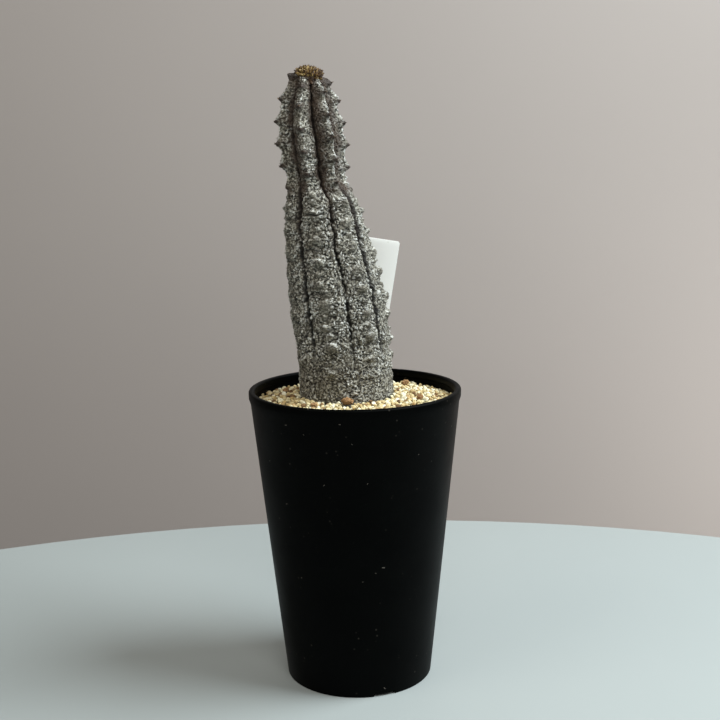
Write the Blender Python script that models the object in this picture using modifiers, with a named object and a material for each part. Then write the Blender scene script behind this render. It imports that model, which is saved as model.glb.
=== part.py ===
"""A potted columnar euphorbia, in metres, +Z up, seen from the front along +Y.

The origin is the centre of the pot's foot, on the surface that the pot stands on. A tall round nursery
pot holds a gritty potting mix under a bed of pale gravel. The stem stands in a plain hole through both:
seven ribs with a row of tubercles on each, an old broad lower part, a neck, and a young toothed top with
a tuft of tiny leaves. A blank plant label stands behind it in a slot of its own.
"""

import math
import random

import bmesh
import bpy
from mathutils import Euler, Matrix, Vector, noise

# Pot: a turned shell with a lip, a floor and a foot ring
POT_HEIGHT = 0.1472
RIM_RADIUS = 0.0525
FOOT_RADIUS = 0.0367
WALL = 0.0015
LIP_WIDTH = 0.0030
LIP_HEIGHT = 0.0032
LIP_ROUND = 0.0010
LIP_PROUD = 0.0002
FOOT_RING_WIDTH = 0.0024
FOOT_RING_HEIGHT = 0.0030
FLOOR_THICKNESS = 0.0018
NOTCH_WIDTH = 0.0110
NOTCH_HEIGHT = 0.0017
NOTCH_ANGLE = math.radians(19.4)
NOTCHES = 3
DRAIN_RADIUS = 0.0035
DRAIN_CIRCLE = 0.0200
DRAINS = 6
TURN_STEPS = 48

# Filling: potting mix, then the gravel bed with its grains
GAP = 0.0003
MIX_TOP = 0.1310
BED_EDGE_TOP = 0.1408
BED_MIDDLE_TOP = 0.1432
GRAINS = 172
GRAIN_WIDTH = 0.0066
GRAIN_PROUD = 0.0005

# Stem: levels are heights above the pot's foot
RIBS = 7
STEM_FOOT = 0.1060
STEM_TIP = 0.2984
NECK_LEVEL = 0.2460
COLLAR_LEVEL = 0.1470
STEM_AXIS = [
    (0.104, -0.0025, 0.0050), (0.143, -0.0039, 0.0050), (0.165, -0.0054, 0.0053), (0.188, -0.0080, 0.0058),
    (0.210, -0.0110, 0.0062), (0.233, -0.0144, 0.0062), (0.240, -0.0152, 0.0060), (0.247, -0.0173, 0.0058),
    (0.263, -0.0186, 0.0052), (0.280, -0.0197, 0.0046), (0.300, -0.0195, 0.0042),
]
STEM_GIRTH = [
    (0.104, 0.0050), (0.112, 0.0130), (0.121, 0.0190), (0.131, 0.0224), (0.139, 0.0233), (0.150, 0.0230),
    (0.165, 0.0227), (0.182, 0.0236), (0.203, 0.0223), (0.218, 0.0205), (0.233, 0.0183), (0.240, 0.0166),
    (0.246, 0.0142), (0.252, 0.0144), (0.261, 0.0156), (0.272, 0.0155), (0.282, 0.0139), (0.291, 0.0113),
    (0.296, 0.0094), (0.300, 0.0060),
]
CREST_TURN = [
    (0.150, math.radians(-12)), (0.200, math.radians(-12)), (0.222, math.radians(-13)),
    (0.240, math.radians(-9)), (0.263, math.radians(-11)), (0.280, math.radians(-15)),
]
TUBERCLE_PITCH = 0.0105
TUBERCLE_START = 0.2977
ROW_STEP = 0.37
TOOTH_RISE = 0.0027
TOOTH_UNDERSIDE = 0.38
KNOB_RISE = 0.0012
KNOB_PHASE = 0.12
NECK_PINCH = 0.7
NECK_SPAN = 0.0035
YOUNG_FROM = (0.240, 0.251)
TEETH_FROM = (0.2425, 0.2475)
SMALL_TEETH_FROM = (0.286, 0.298)
WORN_BELOW = (0.155, 0.185)
OLD_GROOVE = 0.15
OLD_GROOVE_SPAN = 0.20
OLD_ROUNDNESS = 0.05
YOUNG_GROOVE = 0.27
LUMP_RISE = 0.0006
LUMP_SIZE = 0.0080
COLUMN_SHARES = (0.0, 0.45, 0.80, 1.0)
BURIED_LEVELS = (0.110, 0.116, 0.124, 0.134, 0.142)

# Crown: the tuft of tiny leaves on the growing tip
CROWN_RADIUS = 0.0052
CROWN_HEIGHT = 0.0019
CROWN_LEAVES = 24
LEAF_LENGTH = 0.0036
LEAF_WIDTH = 0.0017
LEAF_THICKNESS = 0.0009

# Label: a blank strip with a pointed foot, leaning to the right behind the stem
LABEL_WIDTH = 0.0200
LABEL_LENGTH = 0.1400
LABEL_POINT = 0.0120
LABEL_THICKNESS = 0.0008
LABEL_CORNER = 0.0010
LABEL_TOP = Vector((0.0146, 0.0340, 0.2174))
LABEL_LEAN = math.radians(9.5)

# Tan stones on the gravel: place, turn in degrees and width
TAN_STONES = [
    (-0.0036, -0.0222, 25, 0.0062), (-0.0197, -0.0243, 70, 0.0040), (0.0318, -0.0105, 140, 0.0040),
    (0.0262, 0.0290, 200, 0.0044), (-0.0350, 0.0148, 310, 0.0042),
]


def clear_scene():
    for obj in list(bpy.data.objects):
        bpy.data.objects.remove(obj)


def new_collection(name):
    made = bpy.data.collections.new(name)
    bpy.context.scene.collection.children.link(made)
    return made


def new_material(name, colour, roughness):
    made = bpy.data.materials.new(name)
    made.use_nodes = True
    shader = made.node_tree.nodes["Principled BSDF"]
    shader.inputs["Base Color"].default_value = (*colour, 1.0)
    shader.inputs["Roughness"].default_value = roughness
    shader.inputs["Metallic"].default_value = 0.0
    return made


def new_object(name, mesh, collection, material=None):
    made = bpy.data.objects.new(name, mesh)
    collection.objects.link(made)
    if material:
        mesh.materials.append(material)
    return made


def new_cutter(name, mesh, collection):
    made = new_object(name, mesh, collection)
    made.hide_render = True
    made.display_type = "WIRE"
    return made


def mesh_of(bm, name, smooth=False):
    """The bmesh as a finished mesh, with its faces turned outwards."""
    bmesh.ops.recalc_face_normals(bm, faces=bm.faces)
    mesh = bpy.data.meshes.new(name)
    bm.to_mesh(mesh)
    bm.free()
    if smooth:
        mesh.shade_smooth()
        mesh.set_sharp_from_angle(angle=math.radians(40))
    return mesh


def freeze(obj):
    """Applies the object's modifiers to its mesh."""
    bpy.context.view_layer.update()
    graph = bpy.context.evaluated_depsgraph_get()
    mesh = bpy.data.meshes.new_from_object(obj.evaluated_get(graph))
    obj.modifiers.clear()
    obj.data = mesh


def boolean(obj, operation, operand, solver="EXACT"):
    modifier = obj.modifiers.new(operation.lower(), "BOOLEAN")
    modifier.operation = operation
    modifier.solver = solver
    if isinstance(operand, bpy.types.Collection):
        modifier.operand_type = "COLLECTION"
        modifier.collection = operand
    else:
        modifier.object = operand
    return modifier


def turned(name, profile, collection, material=None):
    """A profile of (radius, height) points, run round the Z axis by a Screw modifier."""
    bm = bmesh.new()
    points = [bm.verts.new((radius, 0.0, height)) for radius, height in profile]
    for start, end in zip(points, points[1:]):
        bm.edges.new((start, end))
    mesh = bpy.data.meshes.new(name)
    bm.to_mesh(mesh)
    bm.free()
    obj = new_object(name, mesh, collection, material)
    screw = obj.modifiers.new("turn", "SCREW")
    screw.axis = "Z"
    screw.steps = TURN_STEPS
    screw.render_steps = TURN_STEPS
    screw.use_merge_vertices = True
    screw.merge_threshold = 0.00001
    screw.use_smooth_shade = True
    return obj


def value_at(table, level):
    """The column values of a table at a level, on one smooth curve through its rows."""
    rows = [(row[0], Vector(row[1:] if len(row) > 2 else (row[1], 0.0))) for row in table]
    if level <= rows[0][0]:
        return rows[0][1].copy()
    if level >= rows[-1][0]:
        return rows[-1][1].copy()

    def slope(i):
        before = rows[max(i - 1, 0)]
        after = rows[min(i + 1, len(rows) - 1)]
        return (after[1] - before[1]) / (after[0] - before[0])

    i = max(j for j in range(len(rows) - 1) if rows[j][0] <= level)
    (low, start), (high, end) = rows[i], rows[i + 1]
    span = high - low
    t = (level - low) / span
    return (
        start * (2 * t**3 - 3 * t**2 + 1)
        + slope(i) * span * (t**3 - 2 * t**2 + t)
        + end * (3 * t**2 - 2 * t**3)
        + slope(i + 1) * span * (t**3 - t**2)
    )


def ramp(low, high, value):
    """0 below low, 1 above high, smooth between."""
    t = min(1.0, max(0.0, (value - low) / (high - low)))
    return t * t * (3 - 2 * t)


def arc(centre, radius, start, end, count):
    """Points on an arc, angles in degrees, both ends included."""
    angles = [math.radians(start + (end - start) * i / (count - 1)) for i in range(count)]
    return [(centre[0] + radius * math.cos(a), centre[1] + radius * math.sin(a)) for a in angles]


def outer_radius(height):
    """The pot's plain outer cone."""
    top = RIM_RADIUS - LIP_PROUD
    return FOOT_RADIUS + (top - FOOT_RADIUS) * height / POT_HEIGHT


def inner_radius(height):
    return outer_radius(height) - WALL


def pot_profile():
    floor_top = FOOT_RING_HEIGHT + FLOOR_THICKNESS
    lip_under = POT_HEIGHT - LIP_HEIGHT
    lip_inner = RIM_RADIUS - LIP_WIDTH
    lip_top = POT_HEIGHT - LIP_ROUND
    corner = 0.0020
    foot_edge = 0.0004
    return [
        (0.0, floor_top),
        (inner_radius(floor_top) - corner, floor_top),
        (inner_radius(floor_top + corner), floor_top + corner),
        (inner_radius(lip_under - 0.0009), lip_under - 0.0009),
        (lip_inner, lip_under),
        *arc((lip_inner + LIP_ROUND, lip_top), LIP_ROUND, 180, 90, 4),
        *arc((RIM_RADIUS - LIP_ROUND, lip_top), LIP_ROUND, 90, 0, 4),
        (RIM_RADIUS, lip_under),
        (outer_radius(lip_under - 0.0006), lip_under - 0.0006),
        (outer_radius(foot_edge), foot_edge),
        (FOOT_RADIUS - foot_edge, 0.0),
        (FOOT_RADIUS - FOOT_RING_WIDTH, 0.0),
        (FOOT_RADIUS - FOOT_RING_WIDTH, FOOT_RING_HEIGHT),
        (0.0, FOOT_RING_HEIGHT),
    ]


def box_mesh(name, size, matrix):
    bm = bmesh.new()
    bmesh.ops.create_cube(bm, size=1.0, matrix=matrix @ Matrix.Diagonal((*size, 1.0)))
    return mesh_of(bm, name)


def make_pot(collection, cutters, material):
    """The turned shell, with notches under its foot ring and drain holes in its floor."""
    pot = turned("pot", pot_profile(), collection, material)
    for i in range(NOTCHES):
        angle = NOTCH_ANGLE + i * math.tau / NOTCHES
        place = Matrix.Rotation(angle, 4, "Z") @ Matrix.Translation((0.0, -FOOT_RADIUS, 0.0))
        size = (NOTCH_WIDTH, 4 * FOOT_RING_WIDTH, 2 * NOTCH_HEIGHT)
        boolean(pot, "DIFFERENCE", new_cutter(f"notch_{i}", box_mesh("notch", size, place), cutters))
    floor_middle = FOOT_RING_HEIGHT + FLOOR_THICKNESS / 2
    centres = [(0.0, 0.0)]
    for i in range(DRAINS):
        angle = i * math.tau / DRAINS
        centres.append((DRAIN_CIRCLE * math.cos(angle), DRAIN_CIRCLE * math.sin(angle)))
    bm = bmesh.new()
    for x, y in centres:
        bmesh.ops.create_cone(
            bm, cap_ends=True, segments=14, radius1=DRAIN_RADIUS, radius2=DRAIN_RADIUS,
            depth=3 * FLOOR_THICKNESS, matrix=Matrix.Translation((x, y, floor_middle)),
        )
    boolean(pot, "DIFFERENCE", new_cutter("drains", mesh_of(bm, "drains"), cutters))
    return pot


def stem_axis(level):
    return Vector((*value_at(STEM_AXIS, level), level))


def tubercle_rise(rib, level, share):
    """How far a rib's tubercle stands out: a tooth on the young top, a round knob on the old part."""
    start = TUBERCLE_START - TUBERCLE_PITCH * ROW_STEP * ((rib + 1) % RIBS)
    phase = ((level - start) / TUBERCLE_PITCH) % 1.0
    upper_side = 1 - TOOTH_UNDERSIDE
    if phase < upper_side:
        tooth = (1 - phase / upper_side) ** 1.3
    else:
        tooth = ((phase - upper_side) / TOOTH_UNDERSIDE) ** 1.6
    knob = 0.5 + 0.5 * math.cos(math.tau * (phase - KNOB_PHASE))
    young = ramp(*YOUNG_FROM, level)
    small_top = 1 - 0.35 * ramp(*SMALL_TEETH_FROM, level)
    at_neck = 1 - NECK_PINCH * math.exp(-(((level - NECK_LEVEL) / NECK_SPAN) ** 2))
    young_rise = ramp(*TEETH_FROM, level) * TOOTH_RISE * small_top * tooth * (1 - share) ** 1.5
    old_rise = at_neck * (1 - young) * KNOB_RISE * knob * (1 - share**2)
    return max(young_rise, old_rise)


def groove_depth(level, share):
    """The share of the girth by which the surface drops between a crest (0) and a groove (1)."""
    young = ramp(*YOUNG_FROM, level)
    old_drop = OLD_ROUNDNESS * share**2 + OLD_GROOVE * math.exp(-(((1 - share) / OLD_GROOVE_SPAN) ** 2))
    worn = 0.25 + 0.75 * ramp(*WORN_BELOW, level)
    return (1 - young) * old_drop * worn + young * YOUNG_GROOVE * share**1.25


def stem_radius(rib, level, share, point):
    """The stem's radius on a rib, at a share of the way from its crest to the groove beside it."""
    girth = value_at(STEM_GIRTH, level)[0]
    grown = ramp(COLLAR_LEVEL, COLLAR_LEVEL + 0.011, level)
    lump = LUMP_RISE * noise.noise(point / LUMP_SIZE)
    shape = girth * -groove_depth(level, share) + tubercle_rise(rib, level, share) + lump
    return girth + grown * shape


def ring_levels():
    """Ring heights: few in the soil, more up the old part, and most on the toothed top."""
    levels = []
    level = TUBERCLE_START
    while level > COLLAR_LEVEL + 0.002:
        levels.append(level)
        level -= TUBERCLE_PITCH / (6 if level > YOUNG_FROM[0] else 4)
    return [STEM_FOOT, *BURIED_LEVELS, COLLAR_LEVEL, *sorted(levels), STEM_TIP]


def column_places():
    """(rib, side, share) of each column of the surface, anticlockwise from the front rib's crest."""
    half = [(1, share) for share in COLUMN_SHARES]
    other = [(-1, share) for share in reversed(COLUMN_SHARES[1:-1])]
    places = []
    for rib in range(RIBS):
        places += [(rib, side, share) for side, share in half]
        places += [((rib + 1) % RIBS, side, share) for side, share in other]
    return places


def stem_point(rib, side, share, level, clearance=0.0, plain=False):
    centre = stem_axis(level)
    angle = value_at(CREST_TURN, level)[0] + math.tau / RIBS * (rib + side * share / 2)
    outward = Vector((math.sin(angle), -math.cos(angle), 0.0))
    girth = value_at(STEM_GIRTH, level)[0]
    radius = girth if plain else stem_radius(rib, level, share, centre + outward * girth)
    return centre + outward * (radius + clearance)


def stem_mesh(name, levels, clearance=0.0, plain=False):
    """A cylinder cut into rings, with each of its points moved to its place on the stem."""
    places = column_places()
    bm = bmesh.new()
    bmesh.ops.create_cone(
        bm, cap_ends=True, segments=len(places), radius1=1.0, radius2=1.0, depth=len(levels) - 1,
        matrix=Matrix.Translation((0, 0, (len(levels) - 1) / 2)),
    )
    upright = [e for e in bm.edges if abs(e.verts[0].co.z - e.verts[1].co.z) > 0.5]
    bmesh.ops.subdivide_edges(bm, edges=upright, cuts=len(levels) - 2, use_grid_fill=True)
    for vert in bm.verts:
        column = round(math.atan2(vert.co.y, vert.co.x) / math.tau * len(places)) % len(places)
        level = levels[round(vert.co.z)]
        vert.co = stem_point(*places[column], level, clearance, plain)
    return mesh_of(bm, name, smooth=True)


def make_filling(collection, cutters, materials):
    """The potting mix and the gravel bed, each with a plain hole for the stem and a slot for the label."""
    floor_top = FOOT_RING_HEIGHT + FLOOR_THICKNESS + GAP
    corner = 0.0024
    mix = turned(
        "potting_mix",
        [
            (0.0, MIX_TOP),
            (inner_radius(MIX_TOP) - GAP, MIX_TOP),
            (inner_radius(floor_top + corner) - GAP, floor_top + corner),
            (inner_radius(floor_top) - corner - GAP, floor_top),
            (0.0, floor_top),
        ],
        collection, materials["potting_mix"],
    )
    bed_foot = MIX_TOP + GAP
    bed = turned(
        "gravel",
        [
            (0.0, BED_MIDDLE_TOP),
            (0.0300, BED_MIDDLE_TOP - 0.0004),
            (0.0420, (BED_EDGE_TOP + BED_MIDDLE_TOP) / 2 - 0.0002),
            (inner_radius(BED_EDGE_TOP) - GAP, BED_EDGE_TOP),
            (inner_radius(bed_foot) - GAP, bed_foot),
            (0.0, bed_foot),
        ],
        collection, materials["gravel"],
    )
    levels = [STEM_FOOT - GAP, *BURIED_LEVELS, COLLAR_LEVEL + 0.005]
    hole = new_cutter("stem_hole", stem_mesh("stem_hole", levels, GAP, plain=True), cutters)
    size = (LABEL_WIDTH + 2 * GAP, LABEL_THICKNESS + 2 * GAP, LABEL_LENGTH + 2 * GAP)
    slot_place = label_place() @ Matrix.Translation((0, 0, -LABEL_LENGTH / 2))
    slot = new_cutter("label_slot", box_mesh("label_slot", size, slot_place), cutters)
    for cutter in (hole, slot):
        boolean(mix, "DIFFERENCE", cutter)
    grow_grains(bed)
    trim = wall_trim(cutters)
    for cutter in (trim, hole, slot):
        boolean(bed, "DIFFERENCE", cutter)
    return mix, bed


def bed_height(x, y):
    """The gravel bed's own surface, before its grains."""
    radius = math.hypot(x, y)
    return BED_MIDDLE_TOP - (BED_MIDDLE_TOP - BED_EDGE_TOP) * ramp(0.026, 0.050, radius)


def pebble(bm, place, width, turn, rounds, rng):
    """A small angular stone: an icosphere with its points drawn in and out."""
    made = bmesh.ops.create_icosphere(bm, subdivisions=rounds, radius=width / 2)
    flat = Matrix.Diagonal((1.0, rng.uniform(0.75, 0.95), rng.uniform(0.62, 0.80)))
    for vert in made["verts"]:
        vert.co = turn @ (flat @ (vert.co * rng.uniform(0.88, 1.08))) + place


def grow_grains(bed):
    """Spreads grains over the bed on a sunflower spiral and fuses them to it."""
    rng = random.Random(11)
    grains = new_collection("grains")
    inner, outer = 0.0170, 0.0490
    stem_side = value_at(STEM_GIRTH, BED_MIDDLE_TOP)[0]
    for i in range(GRAINS):
        share = (i + 0.5) / GRAINS
        radius = math.sqrt(inner**2 + (outer**2 - inner**2) * share)
        angle = i * math.pi * (3 - math.sqrt(5))
        x = radius * math.cos(angle) + rng.uniform(-0.0007, 0.0007)
        y = radius * math.sin(angle) + rng.uniform(-0.0007, 0.0007)
        place = Vector((x, y, bed_height(x, y) - GRAIN_PROUD * rng.uniform(0.2, 1.6)))
        if (place - stem_axis(place.z)).length < stem_side:
            continue
        lean = (rng.uniform(-0.35, 0.35), rng.uniform(-0.35, 0.35))
        turn = Euler([*lean, rng.uniform(0, math.tau)]).to_matrix()
        bm = bmesh.new()
        pebble(bm, place, GRAIN_WIDTH * rng.uniform(0.80, 1.12), turn, 1, rng)
        new_object(f"grain_{i}", mesh_of(bm, "grain"), grains)
    boolean(bed, "UNION", grains, "MANIFOLD")
    freeze(bed)
    for grain in list(grains.objects):
        bpy.data.objects.remove(grain)
    bpy.data.collections.remove(grains)


def wall_trim(cutters):
    """A ring that takes off whatever of the gravel would reach into the pot's wall or lip."""
    low, high, far = MIX_TOP - 0.004, POT_HEIGHT + 0.002, 0.0600
    lip_under = POT_HEIGHT - LIP_HEIGHT
    ring = turned(
        "wall_trim",
        [
            (inner_radius(low) - GAP, low),
            (inner_radius(lip_under - 0.0015) - GAP, lip_under - 0.0015),
            (RIM_RADIUS - LIP_WIDTH - GAP, lip_under - 0.0006),
            (RIM_RADIUS - LIP_WIDTH - GAP, high),
            (far, high),
            (far, low),
            (inner_radius(low) - GAP, low),
        ],
        cutters,
    )
    ring.hide_render = True
    ring.display_type = "WIRE"
    return ring


def make_tan_stones(bed, collection, cutters, material):
    """Larger stones that lie in the gravel, each in a pit of its own shape."""
    for i, (x, y, degrees, width) in enumerate(TAN_STONES, 1):
        place = Vector((x, y, bed_height(x, y) + 0.42 * width * 0.7))
        turn = Euler((0.2, -0.15, math.radians(degrees))).to_matrix()
        for name, grown in ((f"tan_stone_{i}", 0.0), (f"pit_{i}", 2 * GAP)):
            bm = bmesh.new()
            pebble(bm, place, width + grown, turn, 2, random.Random(40 + i))
            if grown:
                boolean(bed, "DIFFERENCE", new_cutter(name, mesh_of(bm, name), cutters))
            else:
                new_object(name, mesh_of(bm, name), collection, material)


def make_crown(collection, material):
    """A low cushion on the tip, with small pointed leaves fused to it."""
    rng = random.Random(5)
    base = Matrix.Translation(stem_axis(STEM_TIP + GAP))
    bm = bmesh.new()
    bmesh.ops.create_uvsphere(bm, u_segments=14, v_segments=8, radius=1.0)
    geometry = bm.verts[:] + bm.edges[:] + bm.faces[:]
    cut = bmesh.ops.bisect_plane(
        bm, geom=geometry, plane_co=(0, 0, 0.02), plane_no=(0, 0, 1), clear_inner=True
    )
    bmesh.ops.contextual_create(bm, geom=[g for g in cut["geom_cut"] if isinstance(g, bmesh.types.BMEdge)])
    for vert in bm.verts:
        x, y, z = vert.co
        vert.co = base @ Vector((x * CROWN_RADIUS, y * CROWN_RADIUS, (z - 0.02) * CROWN_HEIGHT))
    crown = new_object("crown_leaves", mesh_of(bm, "crown_leaves", smooth=True), collection, material)
    leaves = new_collection("leaves")
    for i in range(CROWN_LEAVES):
        share = (i + 0.5) / CROWN_LEAVES
        angle = i * math.pi * (3 - math.sqrt(5))
        lean = math.radians(8 + 44 * share + rng.uniform(-5, 5))
        length = LEAF_LENGTH * rng.uniform(0.85, 1.15)
        root = Matrix.Rotation(angle, 4, "Z") @ Matrix.Translation(
            (0.80 * CROWN_RADIUS * math.sqrt(share), 0, 0.45 * CROWN_HEIGHT * (1.35 - share))
        )
        place = base @ root @ Matrix.Rotation(lean, 4, "Y") @ Matrix.Translation((0, 0, 0.38 * length))
        size = Matrix.Diagonal((LEAF_THICKNESS / 2, LEAF_WIDTH / 2, length / 2, 1.0))
        bm = bmesh.new()
        bmesh.ops.create_uvsphere(bm, u_segments=6, v_segments=5, radius=1.0, matrix=place @ size)
        new_object(f"leaf_{i}", mesh_of(bm, "leaf"), leaves)
    boolean(crown, "UNION", leaves, "MANIFOLD")
    freeze(crown)
    for leaf in list(leaves.objects):
        bpy.data.objects.remove(leaf)
    bpy.data.collections.remove(leaves)


def label_place():
    """The label's own frame: origin at the middle of its top edge, +Z up along it, faces front and back."""
    return Matrix.Translation(LABEL_TOP) @ Matrix.Rotation(LABEL_LEAN, 4, "Y")


def make_label(collection, material):
    """A flat outline with rounded top corners and a pointed foot, as a 2D curve with thickness."""
    half = LABEL_WIDTH / 2
    outline = [
        (half, -LABEL_LENGTH + LABEL_POINT),
        *arc((half - LABEL_CORNER, -LABEL_CORNER), LABEL_CORNER, 0, 90, 4),
        *arc((-half + LABEL_CORNER, -LABEL_CORNER), LABEL_CORNER, 90, 180, 4),
        (-half, -LABEL_LENGTH + LABEL_POINT),
        (-0.0015, -LABEL_LENGTH),
        (0.0015, -LABEL_LENGTH),
    ]
    curve = bpy.data.curves.new("label", "CURVE")
    curve.dimensions = "2D"
    curve.fill_mode = "BOTH"
    curve.extrude = LABEL_THICKNESS / 2
    spline = curve.splines.new("POLY")
    spline.points.add(len(outline) - 1)
    for point, (x, y) in zip(spline.points, outline):
        point.co = (x, y, 0.0, 1.0)
    spline.use_cyclic_u = True
    label = new_object("label", curve, collection, material)
    label.matrix_world = label_place() @ Matrix.Rotation(math.pi / 2, 4, "X")


def main():
    clear_scene()
    plant = new_collection("potted_euphorbia")
    cutters = new_collection("cutters")
    cutters.hide_render = True
    materials = {
        "pot": new_material("pot_plastic", (0.012, 0.013, 0.014), 0.45),
        "potting_mix": new_material("potting_mix", (0.16, 0.11, 0.07), 0.95),
        "gravel": new_material("pale_gravel", (0.62, 0.55, 0.38), 0.9),
        "tan_stone": new_material("tan_stone", (0.42, 0.25, 0.11), 0.85),
        "stem": new_material("stem_skin", (0.20, 0.19, 0.16), 0.8),
        "crown": new_material("crown_leaf", (0.26, 0.15, 0.05), 0.7),
        "label": new_material("label_plastic", (0.85, 0.86, 0.84), 0.4),
    }
    make_pot(plant, cutters, materials["pot"])
    _, bed = make_filling(plant, cutters, materials)
    make_tan_stones(bed, plant, cutters, materials["tan_stone"])
    new_object("stem", stem_mesh("stem", ring_levels()), plant, materials["stem"])
    make_crown(plant, materials["crown"])
    make_label(plant, materials["label"])


main()
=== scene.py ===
"""The potted euphorbia, dressed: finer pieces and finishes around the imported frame.

The stem is grown on its solid's axis, girth and rows of tubercles, and gets a crust of wax granules. The
gravel is settled grain by grain. Everything is in metres, +Z up, and the front looks along +Y.
"""

import math
import random

import bmesh
import bpy
import numpy as np
from mathutils import Matrix, Vector, noise
from mathutils.kdtree import KDTree


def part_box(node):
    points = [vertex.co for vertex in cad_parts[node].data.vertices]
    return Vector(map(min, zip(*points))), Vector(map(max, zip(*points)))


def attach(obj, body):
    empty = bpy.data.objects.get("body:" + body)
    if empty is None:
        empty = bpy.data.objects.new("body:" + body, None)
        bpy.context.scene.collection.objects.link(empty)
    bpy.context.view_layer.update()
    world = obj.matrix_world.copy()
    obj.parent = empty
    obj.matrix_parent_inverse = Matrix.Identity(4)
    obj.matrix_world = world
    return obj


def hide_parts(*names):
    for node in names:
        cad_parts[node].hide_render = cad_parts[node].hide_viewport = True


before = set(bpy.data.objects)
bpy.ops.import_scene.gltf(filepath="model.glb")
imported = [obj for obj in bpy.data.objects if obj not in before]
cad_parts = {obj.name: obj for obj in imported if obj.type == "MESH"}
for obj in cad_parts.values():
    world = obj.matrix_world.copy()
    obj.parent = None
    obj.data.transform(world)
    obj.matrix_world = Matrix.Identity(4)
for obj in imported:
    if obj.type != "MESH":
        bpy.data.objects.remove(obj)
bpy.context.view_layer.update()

# Camera, stage and lights
CAMERA_PLACE = (0.0, -0.5813, 0.2678)
CAMERA_PITCH = math.radians(79.57)
CAMERA_YAW = math.radians(-0.274)
CAMERA_ROLL = math.radians(-0.93)
CAMERA_LENS = 59.9
TABLE_RADIUS = 0.620
TABLE_THICKNESS = 0.012
TABLE_BACK = 0.240
TABLE_TONE = (0.38, 0.42, 0.415)
WALL_PLACE = 0.620
WALL_SPREAD = 2.0
WALL_TONE = (0.385, 0.345, 0.32)
LIGHTS_AIM = Vector((0, 0, 0.15))
# Azimuth (0 in front, 90 on the right) and elevation in degrees, distance, width, watts, colour
LIGHTS = {
    "key": (82, 47, 1.1, 0.80, 20.5, (0.93, 1.0, 1.03)),
    "front_fill": (8, 42, 1.3, 0.70, 5.2, (1.0, 0.97, 0.92)),
    "left_fill": (-58, 42, 1.3, 0.80, 3.4, (1.0, 0.94, 0.84)),
}
WALL_LIGHT = (90, 0, 1.0, 0.40, 0.9, (1.0, 1.0, 0.98))
WALL_LIGHT_PLACE = Vector((0.66, 0.05, -0.06))
WALL_LIGHT_AIM = Vector((0.52, WALL_PLACE, -0.10))
WALL_LIGHT_SPREAD = math.radians(100)
ROOM_TONE = (0.98, 0.97, 0.95, 1.0)
ROOM_LIGHT = 0.16

# Pot
POT_HEIGHT = 0.1472
RIM_RADIUS = 0.0525
FOOT_RADIUS = 0.0367
WALL = 0.0015
WALL_BENDS = (0.0900, 0.0400)
LIP_WIDTH = 0.0030
LIP_HEIGHT = 0.0032
LIP_ROUND = 0.0011
LIP_PROUD = 0.0002
LIP_FILLET = 0.0012
LIP_FADE = 0.0006
FLOOR_CORNER = 0.0020
FOOT_EDGE = 0.0005
FOOT_RING_WIDTH = 0.0024
FOOT_RING_HEIGHT = 0.0030
FLOOR_THICKNESS = 0.0018
NOTCH_WIDTH = 0.0110
NOTCH_HEIGHT = 0.0017
NOTCH_ANGLE = math.radians(19.4)
NOTCHES = 3
DRAIN_RADIUS = 0.0035
DRAIN_CIRCLE = 0.0200
DRAINS = 6
POT_TURNS = 180
# Dust flecks on the wall: azimuth in degrees, height, length
FLECKS = [
    (-39, 0.1380, 0.0016), (-8, 0.1405, 0.0012), (-28, 0.1345, 0.0010), (-2, 0.1310, 0.0008),
    (36, 0.1230, 0.0010), (66, 0.1315, 0.0012), (-57, 0.1175, 0.0009), (-18, 0.1105, 0.0012),
    (6, 0.1115, 0.0010), (-39, 0.0610, 0.0009), (3, 0.0620, 0.0008), (16, 0.0685, 0.0018),
    (19, 0.0040, 0.0014), (-45, 0.0980, 0.0013), (11, 0.0660, 0.0010),
]
FLECK_THICKNESS = 0.00018
FLECK_PROUD = 0.00004

# Gravel
MIX_TOP = 0.1310
GAP = 0.0003
BED_EDGE_TOP = 0.1408
BED_MIDDLE_TOP = 0.1432
BED_SLOPE = (0.026, 0.050)
BED_DEPTH = 0.0030
BED_ROUGHNESS = (0.0006, 0.0022)
GRAIN_COUNT = 3000
GRAIN_TRIES = 16
GRAIN_SIZES = (0.0015, 0.0022, 0.0034)
GRAIN_PROUD = 0.0012
GRAIN_TOUCH = 0.86
GRAIN_SHADE = (0.0006, 0.0022)
GRAVEL_FROM = 0.015
ROCK_SHAPES = 30
AMBER_SHARE = 0.16
TAN_STONES = 5

# Stem, where its solid has it
RIBS = 7
STEM_FOOT = 0.1060
STEM_TIP = 0.2984
NECK_LEVEL = 0.2460
COLLAR_LEVEL = 0.1470
COLLAR_SPAN = 0.0110
STEM_AXIS = [
    (0.104, -0.0025, 0.0050), (0.143, -0.0039, 0.0050), (0.165, -0.0054, 0.0053), (0.188, -0.0080, 0.0058),
    (0.210, -0.0110, 0.0062), (0.233, -0.0144, 0.0062), (0.240, -0.0152, 0.0060), (0.247, -0.0173, 0.0058),
    (0.263, -0.0186, 0.0052), (0.280, -0.0197, 0.0046), (0.300, -0.0195, 0.0042),
]
STEM_GIRTH = [
    (0.104, 0.0050), (0.112, 0.0130), (0.121, 0.0190), (0.131, 0.0224), (0.139, 0.0233), (0.150, 0.0230),
    (0.165, 0.0227), (0.182, 0.0236), (0.203, 0.0223), (0.218, 0.0205), (0.233, 0.0183), (0.240, 0.0166),
    (0.246, 0.0142), (0.252, 0.0144), (0.261, 0.0156), (0.272, 0.0155), (0.282, 0.0139), (0.291, 0.0113),
    (0.296, 0.0094), (0.300, 0.0060),
]
CREST_TURN = [
    (0.150, math.radians(-12)), (0.200, math.radians(-12)), (0.222, math.radians(-13)),
    (0.240, math.radians(-9)), (0.263, math.radians(-11)), (0.280, math.radians(-15)),
]
TUBERCLE_PITCH = 0.0105
TUBERCLE_START = 0.2977
ROW_STEP = 0.37
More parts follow.
